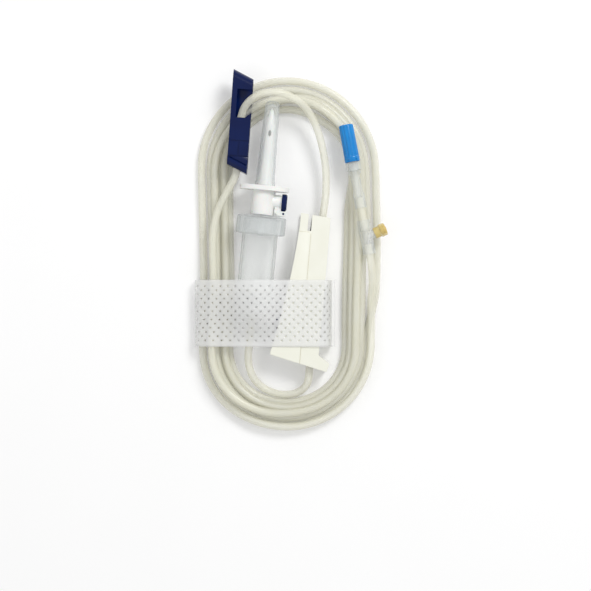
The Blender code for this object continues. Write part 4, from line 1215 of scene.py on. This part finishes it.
@dataclass
class DeliveryEnd(MouldedParts):
    """Y-site with its amber port, and the luer lock with its turning collar under the azure cap."""

    cap: Turning = Turning(
        0.35 * MM, 144, (
            (0.0, 59.7), (3.3, 59.7), (3.78, 59.2), (3.86, 50.0), (3.92, 43.2), (3.92, 42.6),
            (4.0, 42.3), (4.0, 41.4), (4.0, 41.2), (4.0, 40.0), (3.3, 40.0), (3.3, 53.0),
            (0.0, 53.0),
        )
    )
    collar: Turning = Turning(
        0.2 * MM, 120, (
            (3.0, 46.0), (3.0, 39.7), (3.9, 39.7), (3.9, 38.6), (3.9, 36.2), (3.9, 35.4),
            (2.45, 35.4), (2.45, 46.0),
        )
    )
    stem: Turning = Turning(
        0.25 * MM, 64, (
            (2.0, 52.0), (2.15, 37.2), (2.15, 35.1), (3.3, 35.1), (3.3, 33.9), (2.3, 32.9),
            (2.3, 30.6), (2.6, 30.2), (2.6, 29.4), (2.3, 29.0), (2.3, 24.5), (3.0, 22.5),
            (3.0, 15.5), (2.3, 15.5), (2.3, 21.5), (1.12, 21.5), (1.12, 52.0),
        )
    )
    housing: Turning = Turning(
        0.2 * MM, 64, (
            (2.9, 11.0), (3.4, 10.5), (3.4, 9.5), (3.25, 9.3), (3.4, 9.1), (3.4, 7.8), (2.9, 7.8),
            (2.9, 4.6), (2.6, 4.6), (2.6, 7.3), (1.3, 7.3), (1.3, 8.1), (2.6, 8.1), (2.6, 11.0),
        )
    )
    septum: Turning = Turning(
        0.3 * MM, 48, ((0.0, 11.3), (1.7, 11.15), (2.3, 10.6), (2.3, 8.4), (0.0, 8.4))
    )
    tee_edge: float = 0.15 * MM
    port_angle: float = math.radians(76.0)
    outside: float = 3.5 * MM
    flutes: Grooves = Grooves(12, 0.3 * MM, 0.9, 0.35, (42.5 * MM, 59.5 * MM, 0.8 * MM, 0.6 * MM))
    notches: Grooves = Grooves(6, 0.4 * MM, 1 / 0.12, -6.0, (0.0, 41.3 * MM, SHARP, SHARP))
    ribs: Grooves = Grooves(10, 0.3 * MM, 1.0, 0.5, (35.9 * MM, 38.9 * MM, SHARP, SHARP))

    def fluted(self, radius: Array, height: Array, angle: Array) -> Array:
        """Sinks the cap's outside by the flutes along its grip and the notches in its edge."""
        deep = self.flutes.cut(height, angle) + self.notches.cut(height, angle)
        return -np.where(radius > self.outside, deep, 0.0)

    def ribbed(self, radius: Array, height: Array, angle: Array) -> Array:
        """Sinks the collar's outside between its ribs."""
        return -np.where(radius > self.outside, self.ribs.cut(height, angle), 0.0)

    def build(self) -> None:
        """Builds the pieces of the delivery end."""
        made, here, clear = self.finishes, DELIVERY_PLACE, "clear_plastic"
        port = replace(here, tilt=here.tilt - self.port_angle)
        self.moulding(
            "luer_cap_moulding", "luer_cap", "luer_cap", "azure_plastic", self.cap, here,
            made.azure, self.fluted,
        )
        self.moulding(
            "luer_lock_collar", "luer_collar", "luer_collar", clear, self.collar, here,
            made.clear, self.ribbed,
        )
        self.moulding("luer_stem", "luer_body", SET, clear, self.stem, here, made.clear)
        self.moulding(
            "port_shell", "port_housing", SET, "amber_plastic", self.housing, port, made.amber
        )
        self.moulding(
            "port_rubber", "port_septum", SET, "septum_rubber", self.septum, port, made.rubber
        )
        self.copy("y_site_body", "site_tee", SET, clear, self.tee_edge, made.clear)


@dataclass
class Clamps(MouldedParts):
    """The roller clamp with its wheel and the on-off clamp, their moulded edges rounded."""

    body_edge: float = 0.3 * MM
    wheel_edge: float = 0.15 * MM
    arm_edge: float = 0.35 * MM

    def build(self) -> None:
        """Builds the clamps' mouldings."""
        cream, navy = self.finishes.cream, self.finishes.navy
        self.copy("clamp_body", "roller_clamp_body", SET, "cream_plastic", self.body_edge, cream)
        self.copy("clamp_roller", "clamp_wheel", "roller", "navy_plastic", self.wheel_edge, navy)
        self.copy("pinch_clamp", "on_off_clamp", SET, "navy_plastic", self.arm_edge, navy)


@dataclass
class Studio:
    """Pale floor, soft lamps and the camera over the set."""

    view_width: float = 313.2 * MM
    aim: Point = (1.99 * MM, -39.16 * MM, 0.0)
    height: float = 0.9
    sensor: float = 36.0
    key_size: float = 0.42
    key_power: float = 8.5
    key_place: Point = (0.55, 0.65, 1.0)
    fill_power: float = 1.5
    fill_size: float = 0.9
    fill_place: Point = (-0.9, -0.3, 0.9)
    sky: str = "#FFFFFF"
    sky_strength: float = 0.62
    board: str = "#EDEDED"
    board_drift: str = "#EBEBEB"
    board_patch: float = 60 * MM
    board_roughness: float = 0.8
    board_gloss: float = 0.2
    board_reach: float = 3.0
    board_glow: float = 0.16
    bounces: int = 20
    clear_layers: int = 48

    def lamp(self, name: str, place: Point, power: float, size: float) -> None:
        """Adds a square area lamp aimed at the set.

        Args:
            name: The lamp's name.
            place: Where it stands.
            power: In watts.
            size: Of its side.
        """
        light = bpy.data.lights.new(name, "AREA")
        light.energy = power
        light.size = size
        lamp = placed(name, light)
        lamp.location = place
        lamp.rotation_euler = (-Vector(place)).to_track_quat("-Z", "Y").to_euler()

    def build_floor(self) -> None:
        """A white board that takes the set's shadow and shows itself white to camera and gloss."""
        board, shader, _ = clouded("white_coated_board", self.board, self.board_drift, self.board_patch)
        tree = board.node_tree
        rays = add(tree, "ShaderNodeLightPath", {})
        seen = rays.outputs["Is Camera Ray"]
        for ray in ("Is Glossy Ray", "Is Transmission Ray"):
            both = {0: seen, 1: rays.outputs[ray]}
            seen = add(tree, "ShaderNodeMath", both, operation="MAXIMUM").outputs[0]
        glow = add(tree, "ShaderNodeMath", {0: seen, 1: self.board_glow}, operation="MULTIPLY")
        tree.links.new(glow.outputs[0], shader.inputs["Emission Strength"])
        matt = {"Roughness": self.board_roughness, "Specular IOR Level": self.board_gloss}
        set_sockets(shader, {**matt, "Emission Color": linear("#FFFFFF")})
        r = self.board_reach
        corners = np.array([(-r, -r, 0.0), (r, -r, 0.0), (r, r, 0.0), (-r, r, 0.0)])
        floor = mesh_piece("floor_board", corners, [np.array([[0, 1, 2, 3]])], board, flat=True)

    def build_camera(self) -> None:
        """A camera straight above the point that the photograph's frame is centred on."""
        camera = bpy.data.cameras.new("camera")
        camera.sensor_width = self.sensor
        camera.lens = self.sensor * self.height / self.view_width
        item = placed("camera", camera)
        item.location = (self.aim[0], self.aim[1], self.height)
        bpy.context.scene.camera = item

    def build(self) -> None:
        """Builds the floor, lamps, sky and camera."""
        self.build_floor()
        self.lamp("key_lamp", self.key_place, self.key_power, self.key_size)
        self.lamp("fill_lamp", self.fill_place, self.fill_power, self.fill_size)
        world = bpy.data.worlds.new("studio")
        world.use_nodes = True
        sky = {"Color": linear(self.sky), "Strength": self.sky_strength}
        set_sockets(world.node_tree.nodes["Background"], sky)
        bpy.context.scene.world = world
        bpy.context.scene.view_settings.view_transform = "Standard"
        cycles = bpy.context.scene.cycles
        cycles.max_bounces = self.bounces
        cycles.transmission_bounces = self.bounces
        cycles.transparent_max_bounces = self.clear_layers
        self.build_camera()


def main() -> None:
    """Builds the studio, the line, the film and the finishes."""
    logging.basicConfig(level=logging.INFO, format="%(message)s")
    Studio().build()
    finishes = Finishes()
    for assembly in (Line, RetainingBand, DripEnd, DeliveryEnd, Clamps):
        assembly(finishes).build()
    bpy.context.view_layer.update()


if __name__ == "__main__":
    main()
